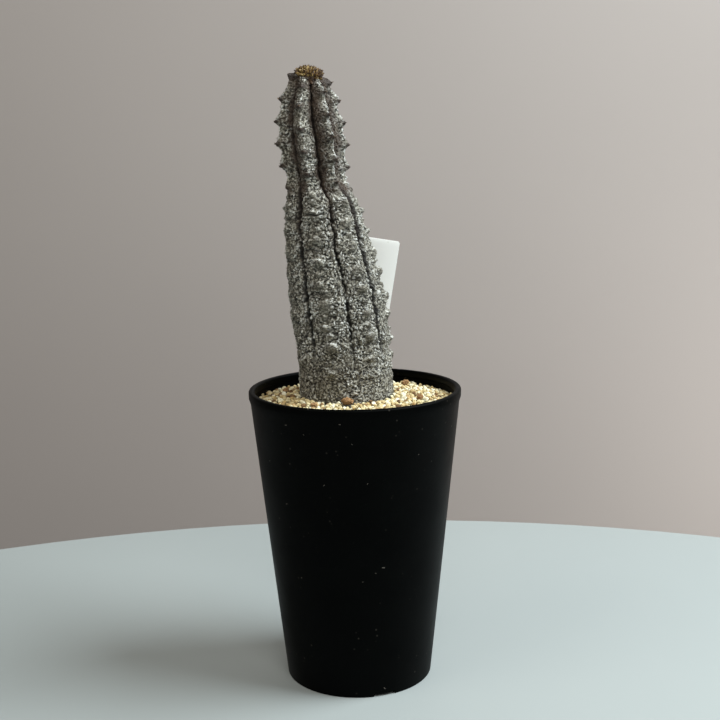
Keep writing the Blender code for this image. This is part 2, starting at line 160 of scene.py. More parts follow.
KNOB_PHASE = 0.12
NECK_PINCH = 0.7
NECK_SPAN = 0.0035
YOUNG_FROM = (0.240, 0.251)
TEETH_FROM = (0.2425, 0.2475)
SMALL_TEETH_FROM = (0.286, 0.298)
WORN_BELOW = (0.155, 0.185)
OLD_ROUNDNESS = 0.05
LUMP_RISE = 0.0006
LUMP_SIZE = 0.0080

# Stem, finer than the solid. A feature comes in between the two levels of its pair.
STEM_COLUMNS = 420
RING_STEP = 0.00032
SKIN_FOOT = 0.1400
SKIN_SPLITS = (0.1950, 0.2465)
BURIED_RINGS = 8
# Ribs and grooves off the even spacing: place around (0.5 is a groove), turn, reach, on the young part
TURNED_ASIDE = [
    (1.5, math.radians(-10), 0.45, False), (5.0, math.radians(-12), 0.70, True),
    (6.5, math.radians(-7), 0.50, True),
]
TOOTH_RISE = 0.0024
TOOTH_ABOVE = 0.0050
TOOTH_BELOW = 0.0024
STRAY_TOOTH = (2, 0.2497, 0.0011)
SPIKE_RISE = 0.0003
SPIKE_FROM = (0.242, 0.245)
SPIKE_WIDTH = (0.0009, 0.0019)
SPIKE_WIDENS = (0.2925, 0.2945)
SCAR_SIZE = (0.0017, 0.0019)
KNOB_RISE = 0.0006
GROOVE_SPAN = 0.0007
OLD_GROOVE = 0.0013
YOUNG_GROOVE = 0.31
YOUNG_CRACK = 0.0011
GROOVE_CRACK = 0.0008
GROOVE_LINE = 0.00070
GROOVE_FROM = (0.156, 0.176)
# How far the painted shade along each groove shifts onto the wall that faces sideways
SHADE_BAND_ASIDE = 0.00084
EYE_RISE = 0.0026
EYE_FROM = (0.148, 0.162)
EYE_SIZE = 0.0021
EYE_DRIFT = 0.0015
EYE_SWAY = 0.0014
SMALL_EYE = 0.62
LEFT_RIB_WEAR = 0.65
RIM_RISE = 0.0003
CREASE_DEPTH = 0.0006
CREASE_SPAN = 0.0005
CREASE_FROM = (0.158, 0.180)
WRINKLE_RISE = 0.00028
WRINKLE_PITCH = 0.0016
WEATHERED_FROM = (0.152, 0.172)
DIMPLE_RISE = 0.00030
DIMPLE_SIZE = 0.0027
CREST_LINE = 0.00030
CREST_SPAN = 0.0006
# Cracks on the front rib below the neck: level, strength, reach across the rib
CRACKS = [(0.2332, 1.0, 0.62), (0.2284, 0.35, 0.50), (0.2270, 0.25, 0.35), (0.2222, 0.45, 0.55)]
CRACK_DEPTH = 0.0010
CRACK_SPAN = 0.00045
CRACK_LIP = 0.0004
CRACK_LIP_SPAN = 0.0005
GRANULE_SIZE = 0.00150
CRUST_RISE = 0.00170
CRUST_FROM = (0.1425, 0.1450)
APEX_TILT = 0.0026
APEX_FROM = 0.289
APEX_REACH = 0.008
APEX_TURN = math.radians(35)
BROWN_TOP = (0.2895, 0.2965)
BROWN_NECK_SPAN = 0.0045
BROWN_GROOVE_SPAN = 0.0017
BROWN_VALLEYS = (0.200, 0.240)
PALE_TOPPED = (0, 1)

# Crown and dry tips
CROWN_RADIUS = 0.0058
CROWN_HEIGHT = 0.0036
CROWN_SUNK = 0.0010
CROWN_ASIDE = (0.0002, -0.0005)
CROWN_TILT = math.radians(20)
CROWN_LEAVES = 190
LEAF_LENGTH = 0.0021
LEAF_WIDTH = 0.0015
DRY_TIPS_FROM = 0.2470
TIP_LENGTH = 0.0008
TIP_SUNK = 0.0005
WITHERED_LENGTH = 0.0034
# Withered leaves beside the tuft: degrees around from the front, distance from the axis, height, lean
WITHERED_LEAVES = [
    (-88, 0.0046, 0.2978, 62), (-70, 0.0050, 0.2973, 78), (-100, 0.0058, 0.2972, 70),
    (-80, 0.0034, 0.2986, 25), (-70, 0.0038, 0.2985, 40), (-84, 0.0060, 0.2962, 95),
    (60, 0.0042, 0.2960, 80), (88, 0.0040, 0.2972, 78), (110, 0.0046, 0.2975, 72),
    (150, 0.0044, 0.2985, 60), (-140, 0.0048, 0.2985, 66), (12, 0.0042, 0.2958, 85),
    (52, 0.0026, 0.2985, 20), (70, 0.0032, 0.2985, 30), (95, 0.0034, 0.2984, 25),
    (-30, 0.0008, 0.2995, 15), (58, 0.0052, 0.2972, 8), (66, 0.0050, 0.2960, 4),
]

# Label
LABEL_WIDTH = 0.0200
LABEL_LENGTH = 0.1400
LABEL_POINT = 0.0120
LABEL_TIP = 0.0030
LABEL_THICKNESS = 0.0008
LABEL_CORNER = 0.0008
LABEL_BEVEL = 0.00018
LABEL_BOW = 0.0012
LABEL_BOW_LENGTH = 0.075
LABEL_ROWS = np.arange(-0.135, 0.0, 0.006)
LABEL_TOP = Vector((0.0146, 0.0340, 0.2174))
LABEL_LEAN = math.radians(9.5)
GRIME_FROM = (0.156, 0.142)


def ramp(low, high, values):
    """0 below low, 1 above high, smooth between, over an array."""
    t = np.clip((np.asarray(values, float) - low) / (high - low), 0.0, 1.0)
    return t * t * (3 - 2 * t)


def bell(distance, width, power=2):
    """1 at no distance and close to 0 past the width, over an array. A higher power has a flatter top."""
    return np.exp(-(np.abs(distance / width) ** power))


def curve_through(table):
    """A smooth curve through rows of (level, value, ...), as a function of an array of levels."""
    rows = np.array(table, float)
    levels, values = rows[:, 0], rows[:, 1:]
    slopes = np.empty_like(values)
    slopes[1:-1] = (values[2:] - values[:-2]) / (levels[2:] - levels[:-2])[:, None]
    slopes[0] = (values[1] - values[0]) / (levels[1] - levels[0])
    slopes[-1] = (values[-1] - values[-2]) / (levels[-1] - levels[-2])

    def read(at):
        at = np.clip(np.asarray(at, float), levels[0], levels[-1])
        i = np.clip(np.searchsorted(levels, at, side="right") - 1, 0, len(levels) - 2)
        span = (levels[i + 1] - levels[i])[..., None]
        t = (at - levels[i])[..., None] / span
        return (
            values[i] * (2 * t**3 - 3 * t**2 + 1)
            + slopes[i] * span * (t**3 - 2 * t**2 + t)
            + values[i + 1] * (3 * t**2 - 2 * t**3)
            + slopes[i + 1] * span * (t**3 - t**2)
        )

    return read


def arc(centre, radius, start, end, count):
    """Points on an arc, angles in degrees, both ends included."""
    angles = [math.radians(start + (end - start) * i / (count - 1)) for i in range(count)]
    return [(centre[0] + radius * math.cos(a), centre[1] + radius * math.sin(a)) for a in angles]


def new_object(name, data):
    made = bpy.data.objects.new(name, data)
    bpy.context.scene.collection.objects.link(made)
    return made


def new_piece(name, mesh, material, stands_for=()):
    """A new piece of the object, riding on its one body."""
    piece = new_object(name, mesh)
    mesh.materials.clear()
    mesh.materials.append(material)
    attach(piece, "root")
    if stands_for:
        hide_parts(*stands_for)
    return piece


def mesh_of(bm, name):
    """The bmesh as a mesh."""
    mesh = bpy.data.meshes.new(name)
    bm.to_mesh(mesh)
    bm.free()
    return mesh


def frozen(maker):
    """The object's mesh with its modifiers applied."""
    bpy.context.view_layer.update()
    return bpy.data.meshes.new_from_object(maker.evaluated_get(bpy.context.evaluated_depsgraph_get()))


def set_marks(mesh, marks):
    """Writes each mark, one number per point or one for all of them, into the mesh."""
    for mark, values in marks.items():
        layer = mesh.attributes.new(mark, "FLOAT", "POINT")
        layer.data.foreach_set("value", np.array(np.broadcast_to(values, len(mesh.vertices)), np.float32))


def mesh_from(name, points, faces, marks, smooth=True):
    """A mesh from points, faces and marks."""
    mesh = bpy.data.meshes.new(name)
    mesh.from_pydata([tuple(p) for p in points], [], [tuple(f) for f in faces])
    set_marks(mesh, marks)
    if smooth:
        mesh.shade_smooth()
    mesh.update()
    return mesh


def merged(parts):
    """Joins (points, faces, {mark: values}) parts into one."""
    points, faces, marks, base = [], [], {}, 0
    for part_points, part_faces, part_marks in parts:
        points.append(part_points)
        faces.extend([tuple(base + i for i in face) for face in part_faces])
        for mark, values in part_marks.items():
            marks.setdefault(mark, []).append(np.broadcast_to(values, len(part_points)))
        base += len(part_points)
    return np.concatenate(points), faces, {mark: np.concatenate(values) for mark, values in marks.items()}


def tube_faces(rows, columns):
    """The faces of a closed tube, whose points run round it row by row, with both its ends."""
    faces = []
    for low in range(0, (rows - 1) * columns, columns):
        high = low + columns
        turns = [(c, (c + 1) % columns) for c in range(columns)]
        faces += [(low + c, low + after, high + after, high + c) for c, after in turns]
    faces.append(tuple(range(columns - 1, -1, -1)))
    faces.append(tuple((rows - 1) * columns + c for c in range(columns)))
    return faces


# Shader building


class Paint:
    """A value or colour of a shader tree, from which sums, products and further colours are made."""

    def __init__(self, tree, socket):
        self.tree = tree
        self.socket = socket

    def maths(self, operation, other):
        return add(self.tree, "ShaderNodeMath", 0, {0: self, 1: other}, operation=operation)

    def __add__(self, other):
        return self.maths("ADD", other)

    def __sub__(self, other):
        return self.maths("SUBTRACT", other)

    def __mul__(self, other):
        return self.maths("MULTIPLY", other)

    def spread(self, low, high, to_low=0.0, to_high=1.0):
        """Maps a range of values to another, clamped and smooth."""
        inputs = {"Value": self, "From Min": low, "From Max": high, "To Min": to_low, "To Max": to_high}
        return add(self.tree, "ShaderNodeMapRange", "Result", inputs, interpolation_type="SMOOTHSTEP")

    def tones(self, *stops):
        """The value's colour on a ramp with (position, (r, g, b)) stops."""
        made = add(self.tree, "ShaderNodeValToRGB", "Color", {"Fac": self})
        band = made.socket.node.color_ramp
        while len(band.elements) < len(stops):
            band.elements.new(1.0)
        for element, (position, colour) in zip(band.elements, stops):
            element.position = position
            element.color = (*colour, 1.0)
        return made

    def under(self, colour, share):
        """This colour with a share of another over it."""
        over = colour if isinstance(colour, Paint) else (*colour, 1.0)
        return add(self.tree, "ShaderNodeMix", 2, {0: share, 6: self, 7: over}, data_type="RGBA")


def give(node, inputs):
    """Gives each input of a node a number, a colour or a link."""
    for key, value in inputs.items():
        if isinstance(value, Paint):
            value.tree.links.new(value.socket, node.inputs[key])
        else:
            node.inputs[key].default_value = value


def add(tree, kind, output, inputs=None, **settings):
    """Adds a node with its settings and inputs, and hands back one of its outputs."""
    made = tree.nodes.new(kind)
    for key, value in settings.items():
        setattr(made, key, value)
    give(made, inputs or {})
    return Paint(tree, made.outputs[output])


def place(tree):
    return add(tree, "ShaderNodeTexCoord", "Object")


def mark_of(tree, name):
    return add(tree, "ShaderNodeAttribute", "Fac", attribute_type="GEOMETRY", attribute_name=name)


def cloud(tree, scale, detail=3.0, roughness=0.55):
    """Soft noise, 0 to 1."""
    inputs = {"Vector": place(tree), "Scale": scale, "Detail": detail, "Roughness": roughness}
    return add(tree, "ShaderNodeTexNoise", "Fac", inputs)


def cells(tree, scale):
    """The distance to the nearest of many scattered points."""
    return add(tree, "ShaderNodeTexVoronoi", "Distance", {"Vector": place(tree), "Scale": scale})


def new_effect(name, takes, gives):
    """An effect that materials share, still empty, with named inputs and outputs."""
    tree = bpy.data.node_groups.new(name, "ShaderNodeTree")
    for in_out, names in (("INPUT", takes), ("OUTPUT", gives)):
        for socket in names:
            tree.interface.new_socket(socket, in_out=in_out, socket_type="NodeSocketFloat")
    return tree, [add(tree, "NodeGroupInput", socket) for socket in takes]


def make_grain():
    """The shared effect of fine mineral grain: a height and a mottled value."""
    tree, (scale, pits) = new_effect("fine_grain", ("Scale", "Pits"), ("Height", "Mottle"))
    coarse = cloud(tree, scale, 4.0, 0.65)
    sunk = cells(tree, scale).spread(0.30, 0.0) * pits
    give(tree.nodes.new("NodeGroupOutput"), {"Height": coarse - sunk, "Mottle": coarse})


def make_dust():
    """The shared effect of sparse small specks of pale dust: a mask."""
    tree, (scale, amount) = new_effect("settled_dust", ("Scale", "Amount"), ("Mask",))
    specks = cells(tree, scale).spread(0.16, 0.06)
    patches = cloud(tree, 45.0, 3.0, 0.6).spread(0.48, 0.66)
    give(tree.nodes.new("NodeGroupOutput"), {"Mask": specks * patches * amount})


def grain(tree, scale, pits, output="Height"):
    group = bpy.data.node_groups["fine_grain"]
    return add(tree, "ShaderNodeGroup", output, {"Scale": scale, "Pits": pits}, node_tree=group)


def dust(tree, scale, amount):
    group = bpy.data.node_groups["settled_dust"]
    return add(tree, "ShaderNodeGroup", "Mask", {"Scale": scale, "Amount": amount}, node_tree=group)


def finish_of(name, colour, roughness=0.6, height=None, bump=0.3, bump_size=0.0005, gloss=0.5):
    """A material with one shader. colour is a function of the tree, and so may roughness and height be."""
    material = bpy.data.materials.new(name)
    material.use_nodes = True
    tree = material.node_tree
    inputs = {"Base Color": colour(tree), "Specular IOR Level": gloss}
    inputs["Roughness"] = roughness(tree) if callable(roughness) else roughness
    if height:
        bumps = {"Height": height(tree), "Strength": bump, "Distance": bump_size}
        inputs["Normal"] = add(tree, "ShaderNodeBump", "Normal", bumps)
    give(tree.nodes["Principled BSDF"], inputs)
    return material


# Finishes


def crust_finish():
    """The stem's waxy crust: pale granules, painted shade in the pits and cracks between them and in brown on
    the young left flanks, painted highlights on tubercle rims and young crests, olive eyes and brown young
    grooves.
    """

    def colour(tree):
        brown = mark_of(tree, "brown")
        specks = cloud(tree, 980.0, 2.0, 0.6).spread(0.41, 0.59)
        # Painted shade: near black in the small pits that the bump sinks with the same cells.
        pore_shade = cells(tree, 560.0).spread(0.42, 0.20) * cloud(tree, 330.0, 2.0).spread(0.40, 0.54)
        patches = cloud(tree, 110.0, 3.0, 0.6).spread(0.45, 0.70)
        # The crust mark gives lighter raised lumps and darker cracks between them as painted shade, and
        # painted highlights on tubercle rims and crest lines.
        waxy = (mark_of(tree, "crust") * 0.52 + specks * 0.54 + mark_of(tree, "granule") * 0.12).tones(
            (0.10, (0.024, 0.020, 0.013)), (0.31, (0.125, 0.114, 0.080)), (0.53, (0.305, 0.288, 0.228)),
            (0.74, (0.510, 0.500, 0.432)), (0.98, (0.820, 0.840, 0.800)),
        )
        waxy = waxy.under((0.012, 0.010, 0.007), pore_shade * 0.95)
        waxy = waxy.under((0.105, 0.090, 0.060), patches * 0.45)
        waxy = waxy.under((0.215, 0.202, 0.160), mark_of(tree, "eye") * 0.6)
        # The brown mark is real brown, and painted shade on the young left flanks.
        waxy = waxy.under((0.062, 0.035, 0.018), brown * 0.9)
        # Near-black painted shade, through the pit mark: cracks, creases, pits, under the tubercles and along
        # the groove bottoms.
        hollow = brown.tones((0.0, (0.010, 0.009, 0.007)), (1.0, (0.020, 0.010, 0.005)))
        waxy = waxy.under(hollow, mark_of(tree, "pit"))
        return waxy.under((0.030, 0.017, 0.009), mark_of(tree, "tip"))

    def height(tree):
        return grain(tree, 1500.0, 0.8) * 0.7 - cells(tree, 560.0).spread(0.42, 0.15) * 0.6

    def roughness(tree):
        return mark_of(tree, "pit").spread(0.0, 1.0, 0.48, 0.85)

    return finish_of("waxy_crust", colour, roughness, height, bump=1.0, bump_size=0.0011, gloss=0.60)


def pumice_finish(name, *stops):
    """Porous stone, with each grain's own tint, and painted shade that darkens what lies deep in the bed."""

    def colour(tree):
        tint = mark_of(tree, "tint") * 0.8 + grain(tree, 1300.0, 0.0, "Mottle") * 0.2
        return tint.tones(*stops).under((0.06, 0.045, 0.025), mark_of(tree, "deep") * 0.85)

    return finish_of(name, colour, 0.88, lambda tree: grain(tree, 1600.0, 1.0), bump=0.6, bump_size=0.0004)


def pot_finish():
    """Moulded black plastic, faintly grained, with a little dust."""

    def colour(tree):
        black = cloud(tree, 60.0).tones((0.3, (0.0003, 0.0005, 0.0005)), (0.7, (0.0008, 0.0011, 0.0010)))
        return black.under((0.12, 0.11, 0.09), dust(tree, 260.0, 0.25))

    def height(tree):
        return grain(tree, 700.0, 0.1)

    def roughness(tree):
        return cloud(tree, 35.0, 4.0, 0.6).spread(0.3, 0.7, 0.40, 0.50)

    return finish_of("moulded_black", colour, roughness, height, bump=0.12, bump_size=0.0002, gloss=0.035)


def soil_finish():
    """Dark gritty potting mix."""

    def colour(tree):
        return grain(tree, 420.0, 0.0, "Mottle").tones(
            (0.35, (0.050, 0.032, 0.020)), (0.55, (0.130, 0.085, 0.052)), (0.72, (0.350, 0.280, 0.190)),
        )

    return finish_of("gritty_mix", colour, 0.95, lambda tree: grain(tree, 600.0, 1.0), 0.8, 0.0008)


def leaf_finish():
    """Small dry leaves: ochre at the heart, dark brown outside and at the tips."""

    def colour(tree):
        leaf = (mark_of(tree, "tint") + grain(tree, 1800.0, 0.0, "Mottle") * 0.25).tones(
            (0.15, (0.028, 0.013, 0.005)), (0.45, (0.110, 0.055, 0.016)), (0.75, (0.300, 0.175, 0.045)),
            (1.00, (0.520, 0.370, 0.120)),
        )
        return leaf.under((0.045, 0.022, 0.010), mark_of(tree, "rim"))

    return finish_of("dry_leaf", colour, 0.62, lambda tree: grain(tree, 2200.0, 0.3), 0.4, 0.0003)


def label_finish():
    """White plastic sheet with a little dirt where it leaves the gravel."""

    def colour(tree):
        level = add(tree, "ShaderNodeSeparateXYZ", "Z", {"Vector": place(tree)})
        grime = level.spread(*GRIME_FROM) * cloud(tree, 500.0, 4.0).spread(0.35, 0.65)
        white = cloud(tree, 30.0).tones((0.3, (0.91, 0.92, 0.89)), (0.7, (0.95, 0.96, 0.93)))
        specked = white.under((0.40, 0.36, 0.28), dust(tree, 300.0, 0.4))
        return specked.under((0.30, 0.24, 0.15), grime * 0.6)

    return finish_of("label_white", colour, 0.42, lambda tree: grain(tree, 900.0, 0.0), 0.05, 0.0002)


def surface_finish(name, tone):
    """A painted or coated studio surface with a barely visible variation."""
    dark = tuple(0.97 * c for c in tone)
    return finish_of(name, lambda tree: cloud(tree, 3.0).tones((0.3, dark), (0.7, tone)))


# Stem

axis_at = curve_through(STEM_AXIS)
girth_at = curve_through(STEM_GIRTH)
turn_at = curve_through(CREST_TURN)


def row_top(rib):
    """The level of a rib's topmost tubercle. The rows step down from rib to rib."""
    return TUBERCLE_START - TUBERCLE_PITCH * ROW_STEP * ((rib + 1) % RIBS)


def lumps(points, size, seed):
    """Soft noise at each point, -1 to 1."""
    shift = Vector((seed, 2 * seed, -seed))
    return np.array([noise.noise(Vector(p) / size + shift) for p in points])


class Skin:
    """The stem's surface on a grid of levels (rows) and turns (columns), with the places of its features."""

    def __init__(self, levels):
        self.level = np.repeat(levels[:, None], STEM_COLUMNS, axis=1)
        around = np.arange(STEM_COLUMNS) * RIBS / STEM_COLUMNS
        near = np.round(around)
        self.rib = np.broadcast_to((near % RIBS).astype(int), self.level.shape)
        self.side = np.broadcast_to(np.where(around < near, -1.0, 1.0), self.level.shape)
        self.share = np.broadcast_to(2 * np.abs(around - near), self.level.shape)
        self.young = ramp(*YOUNG_FROM, self.level)
        angle = turn_at(self.level)[..., 0] + math.tau / RIBS * around[None, :]
        for spot, turn, reach, when_young in TURNED_ASIDE:
            share = self.young if when_young else 1 - self.young
            angle = angle + turn * share * bell(around - spot, reach)[None, :]
        self.outward = np.stack([np.sin(angle), -np.cos(angle), np.zeros_like(angle)], axis=-1)
        self.girth = girth_at(self.level)[..., 0]
        axis = axis_at(self.level)
        self.centre = np.stack([axis[..., 0], axis[..., 1], self.level], axis=-1)
        self.plain = self.centre + self.outward * self.girth[..., None]
        self.grown = ramp(COLLAR_LEVEL, COLLAR_LEVEL + COLLAR_SPAN, self.level)
        self.weathered = ramp(*WEATHERED_FROM, self.level)
        self.steps = (self.level - row_top(self.rib)) / TUBERCLE_PITCH
        self.arc = self.share * self.girth * math.pi / RIBS
        wander = 0.0011 * self.field(0.0045, 3.0) + 0.0009 * self.field(0.0015, 6.0)
        self.from_groove = -self.side * (1 - self.share) * self.girth * math.pi / RIBS - wander

    def field(self, size, seed, stretch=1.0):
        """Soft noise over the surface, -1 to 1, with its lumps stretched upwards."""
        flat = lumps(self.plain.reshape(-1, 3) / (1.0, 1.0, stretch), size, seed)
        return flat.reshape(self.level.shape)

    def blocks(self, size, seed, stretch):
        """Rounded blocks with sharp cracks between them, 0 in the cracks."""
        return np.clip(2.6 * np.abs(self.field(size, seed, stretch)), 0, 1)

    def from_tip(self, phase):
        """Distance above or below the nearest tubercle point at a phase."""
        return ((self.steps - phase + 0.5) % 1.0 - 0.5) * TUBERCLE_PITCH

    def each(self, phase, low, high, seed):
        """A number of each tubercle's own, the same over the whole of it."""
        count = np.floor(self.steps - phase + 0.5).astype(int)
        table = np.random.default_rng(seed).uniform(low, high, (RIBS, 64))
        return table[self.rib, count % 64]


def young_teeth(skin):
    """The teeth of the young ribs: a longer slope above each point and a short one below."""
    rib, level, size = STRAY_TOOTH
    stray = bell(skin.level - level, size) * bell(skin.arc, size) * (skin.rib == rib)
    off = skin.from_tip(0.0)
    above = np.clip(1 - off / TOOTH_ABOVE, 0, 1) ** 0.95
    below = np.clip(1 + off / TOOTH_BELOW, 0, 1) ** 1.05
    tooth = np.where(off > 0, above, below)
    small_top = 1 - 0.20 * ramp(*SMALL_TEETH_FROM, skin.level)
    tooth = tooth * small_top * (1 - skin.share) ** 1.7 * ramp(*TEETH_FROM, skin.level)
    return TOOTH_RISE * (tooth + 0.6 * stray)


def main_relief(skin):
    """The relief that the solid has too: grooves, knobs, teeth and soft lumps."""
    knob = 0.5 + 0.5 * np.cos(math.tau * (skin.steps - KNOB_PHASE))
    at_neck = 1 - NECK_PINCH * bell(skin.level - NECK_LEVEL, NECK_SPAN)
    old_rise = (1 - skin.young) * KNOB_RISE * knob * (1 - skin.share**2)
    slot = bell(skin.from_groove, GROOVE_SPAN)
    old_drop = OLD_ROUNDNESS * skin.girth * skin.share**2 + OLD_GROOVE * slot
    worn = 0.25 + 0.75 * ramp(*WORN_BELOW, skin.level)
    young_drop = YOUNG_GROOVE * skin.girth * skin.share**0.9 + YOUNG_CRACK * slot
    drop = (1 - skin.young) * old_drop * worn + skin.young * young_drop
    return young_teeth(skin) + at_neck * old_rise - drop + LUMP_RISE * skin.field(LUMP_SIZE, 0.0)


def groove_cracks(skin):
    """The jagged crack at the bottom of each groove, and a band of painted shade along it, which spreads up
    the outer wall.
    """
    jagged = ramp(-0.40, 0.30, skin.field(0.0021, 35.0, 1.4))
    width = GROOVE_LINE * (0.35 + 1.15 * jagged + 0.4 * skin.young)
    fading = ramp(*GROOVE_FROM, skin.level)
    # The painted shade spreads further up the walls that face sideways.
    aslant = skin.outward[..., 0] * np.abs(skin.outward[..., 0]) * (1 - skin.young)
    shade_band = bell(skin.from_groove - SHADE_BAND_ASIDE * aslant, width * (0.9 + 0.6 * np.abs(aslant)), 4)
    return bell(skin.from_groove, width) * fading, shade_band * fading


def row_of_eyes(skin, phase, scale):
    """Each old tubercle is a small arched shelf: its height, smooth dark face, a pale rim that is a painted
    highlight along its top edge, and a dark foot that is painted shadow below it.
    """
    size = scale * EYE_SIZE * skin.each(phase, 0.65, 1.25, 3)
    across = (skin.arc * skin.side + skin.each(phase, -EYE_SWAY, EYE_SWAY, 5)) / (1.15 * size)
    across = across + 0.30 * skin.field(0.0035, 8.0)
    above = (skin.from_tip(phase) - skin.each(phase, -EYE_DRIFT, EYE_DRIFT, 4)) / size
    above = above + 0.40 * across**2 + 0.35 * skin.field(0.0030, 10.0)
    there = (1 - skin.young) * ramp(*EYE_FROM, skin.level) * skin.each(phase, 0.60, 1.0, 6)
    there = there * (1 - LEFT_RIB_WEAR * (skin.rib == RIBS - 1)) * bell(across, 1.0, 3)
    shelf = scale * ramp(1.25, 0.45, above) * ramp(-1.5, 0.3, above)
    # The rim is a painted highlight on the shelf's top edge, and under is painted shadow below the shelf.
    face, rim, under = bell(above + 0.15, 0.85, 3), bell(above - 0.85, 0.22), bell(above + 1.45, 0.25)
    return [part * there for part in (shelf, face, rim, under)]


def eyes(skin):
    """The old tubercles, with a smaller one between each two."""
    rows = zip(row_of_eyes(skin, KNOB_PHASE, 1.0), row_of_eyes(skin, KNOB_PHASE + 0.5, SMALL_EYE))
    return [np.maximum(large, small) for large, small in rows]


def creases(skin):
    """Broken folds across the ribs, between the old tubercles."""
    wander = 0.0013 * skin.field(0.0045, 5.0)
    fold = bell(skin.from_tip(KNOB_PHASE + 0.5) + wander, CREASE_SPAN)
    broken = ramp(0.0, 0.30, skin.field(0.0060, 9.0))
    return fold * broken * (1 - skin.young) * ramp(*CREASE_FROM, skin.level) * (1 - skin.share**2)


def wrinkles(skin):
    """Fine folds that run round the crests of the ribs, aslant on the young ones."""
    slant = skin.young * skin.side * skin.arc
    run = (skin.level + 0.8 * slant) / WRINKLE_PITCH + 1.6 * skin.field(0.0050, 15.0)
    patches = ramp(-0.05, 0.35, skin.field(0.0065, 18.0))
    return np.sin(math.tau * run) * patches * (1 - skin.share**2) * skin.weathered


def neck_cracks(skin):
    """The horizontal cracks on the front rib below the neck, which are darkened with painted shade, and the
    pale lip under each.
    """
    wander = 0.0007 * skin.field(0.0030, 2.0) + 0.0003 * skin.field(0.0013, 4.0)
    broken = ramp(-0.2, 0.2, skin.field(0.0024, 11.0))
    across = np.where(skin.rib == 0, skin.share * skin.side + 0.05, 9.0)
    crack, lip = np.zeros_like(skin.level), np.zeros_like(skin.level)
    for level, strength, reach in CRACKS:
        front = bell(across, reach, 8)
        off = skin.level - level + wander
        crack += strength * front * bell(off, CRACK_SPAN)
        lip += (0.4 + 0.6 * strength) * front * broken * bell(off + 2 * CRACK_LIP_SPAN, CRACK_LIP_SPAN)
    return np.minimum(crack, 1), np.minimum(lip, 1)


def lean_apex(points, level, centre):
    """Lets the top of the stem sink towards the front right, where the photo looks into it."""
    off = points - centre
    forward = (off[..., 0] * math.sin(APEX_TURN) - off[..., 1] * math.cos(APEX_TURN)) / APEX_REACH
    sunk = points.copy()
    sunk[..., 2] -= APEX_TILT * ramp(APEX_FROM, STEM_TIP, level) * np.clip(forward, -0.4, 1.2)
    return sunk


def tooth_spikes(skin):
    """The narrow horny point of each young tooth."""
    narrow, wide = SPIKE_WIDTH
    size = narrow + (wide - narrow) * ramp(*SPIKE_WIDENS, skin.level)
    return bell(skin.from_tip(0.0), size) * bell(skin.arc, 1.1 * size) * ramp(*SPIKE_FROM, skin.level)


def tooth_scars(skin):
    """The brown scar round each young tooth."""
    height, width = SCAR_SIZE
    shape = bell(skin.from_tip(0.0) - 0.0003, height) * bell(skin.arc, width)
    return shape * skin.young * ramp(-0.5, 0.1, skin.field(0.0016, 52.0))


class GranuleSeeds:
    """Where the skin's granules lie, and each one's own height and tint."""

    def __init__(self):
        rng = np.random.default_rng(21)
        rows = np.arange(SKIN_FOOT - 0.002, STEM_TIP + 0.002, GRANULE_SIZE * 0.92)
        seeds = []
        for row, level in enumerate(rows):
            girth = float(girth_at(level)[0]) * 0.93
            count = int(math.tau * girth / GRANULE_SIZE)
            angles = (np.arange(count) + 0.5 * (row % 2) + rng.uniform(-0.4, 0.4, count)) * math.tau / count
            heights = level + rng.uniform(-0.4, 0.4, count) * GRANULE_SIZE
            axis = axis_at(heights)
            girths = girth_at(heights)[:, 0]
            x = axis[:, 0] + girths * np.sin(angles)
            y = axis[:, 1] - girths * np.cos(angles)
            kept = rng.uniform(size=count) > 0.15
            seeds.append(np.stack([x, y, heights], 1)[kept])
        seeds = np.concatenate(seeds)
        self.tree = KDTree(len(seeds))
        for i, seed in enumerate(seeds):
            self.tree.insert(seed, i)
        self.tree.balance()
        self.height = rng.uniform(0.20, 1.0, len(seeds))
        self.tint = rng.uniform(0.0, 1.0, len(seeds))

    def over(self, skin):
        """Each point's height share in its granule, 0 in the pits between them, and the granule's tint."""
        flat = skin.plain.reshape(-1, 3)
        warp = 0.0005 * np.stack([lumps(flat, 0.0016, seed) for seed in (1.0, 4.0, 7.0)], 1)
        dome = np.zeros(len(flat))
        tint = np.zeros(len(flat))
        for k, point in enumerate(flat + warp):
            (_, i, near), (_, _, far) = self.tree.find_n(point, 2)
            dome[k] = min(1.0, (far - near) / (0.70 * GRANULE_SIZE)) * self.height[i]
            tint[k] = self.tint[i]
        dome = np.clip(dome + 0.30 * lumps(flat, 0.0010, 14.0), 0, 1)
        return dome.reshape(skin.level.shape), tint.reshape(skin.level.shape)


def crags(skin, dome):
    """The crust's broken lumps, 0 in the cracks: level blocks on the crests, upright ones on the flanks."""
    upright = ramp(0.35, 0.75, skin.share)
    level_blocks = np.minimum(skin.blocks(0.0022, 41.0, 0.6), 1.5 * skin.blocks(0.0012, 42.0, 0.8))
    upright_blocks = np.minimum(skin.blocks(0.0019, 43.0, 1.8), 1.5 * skin.blocks(0.0011, 44.0, 1.4))
    blocks = level_blocks * (1 - upright) + upright_blocks * upright
    return 0.40 * dome + 0.60 * np.clip(blocks * 1.2, 0, 1)


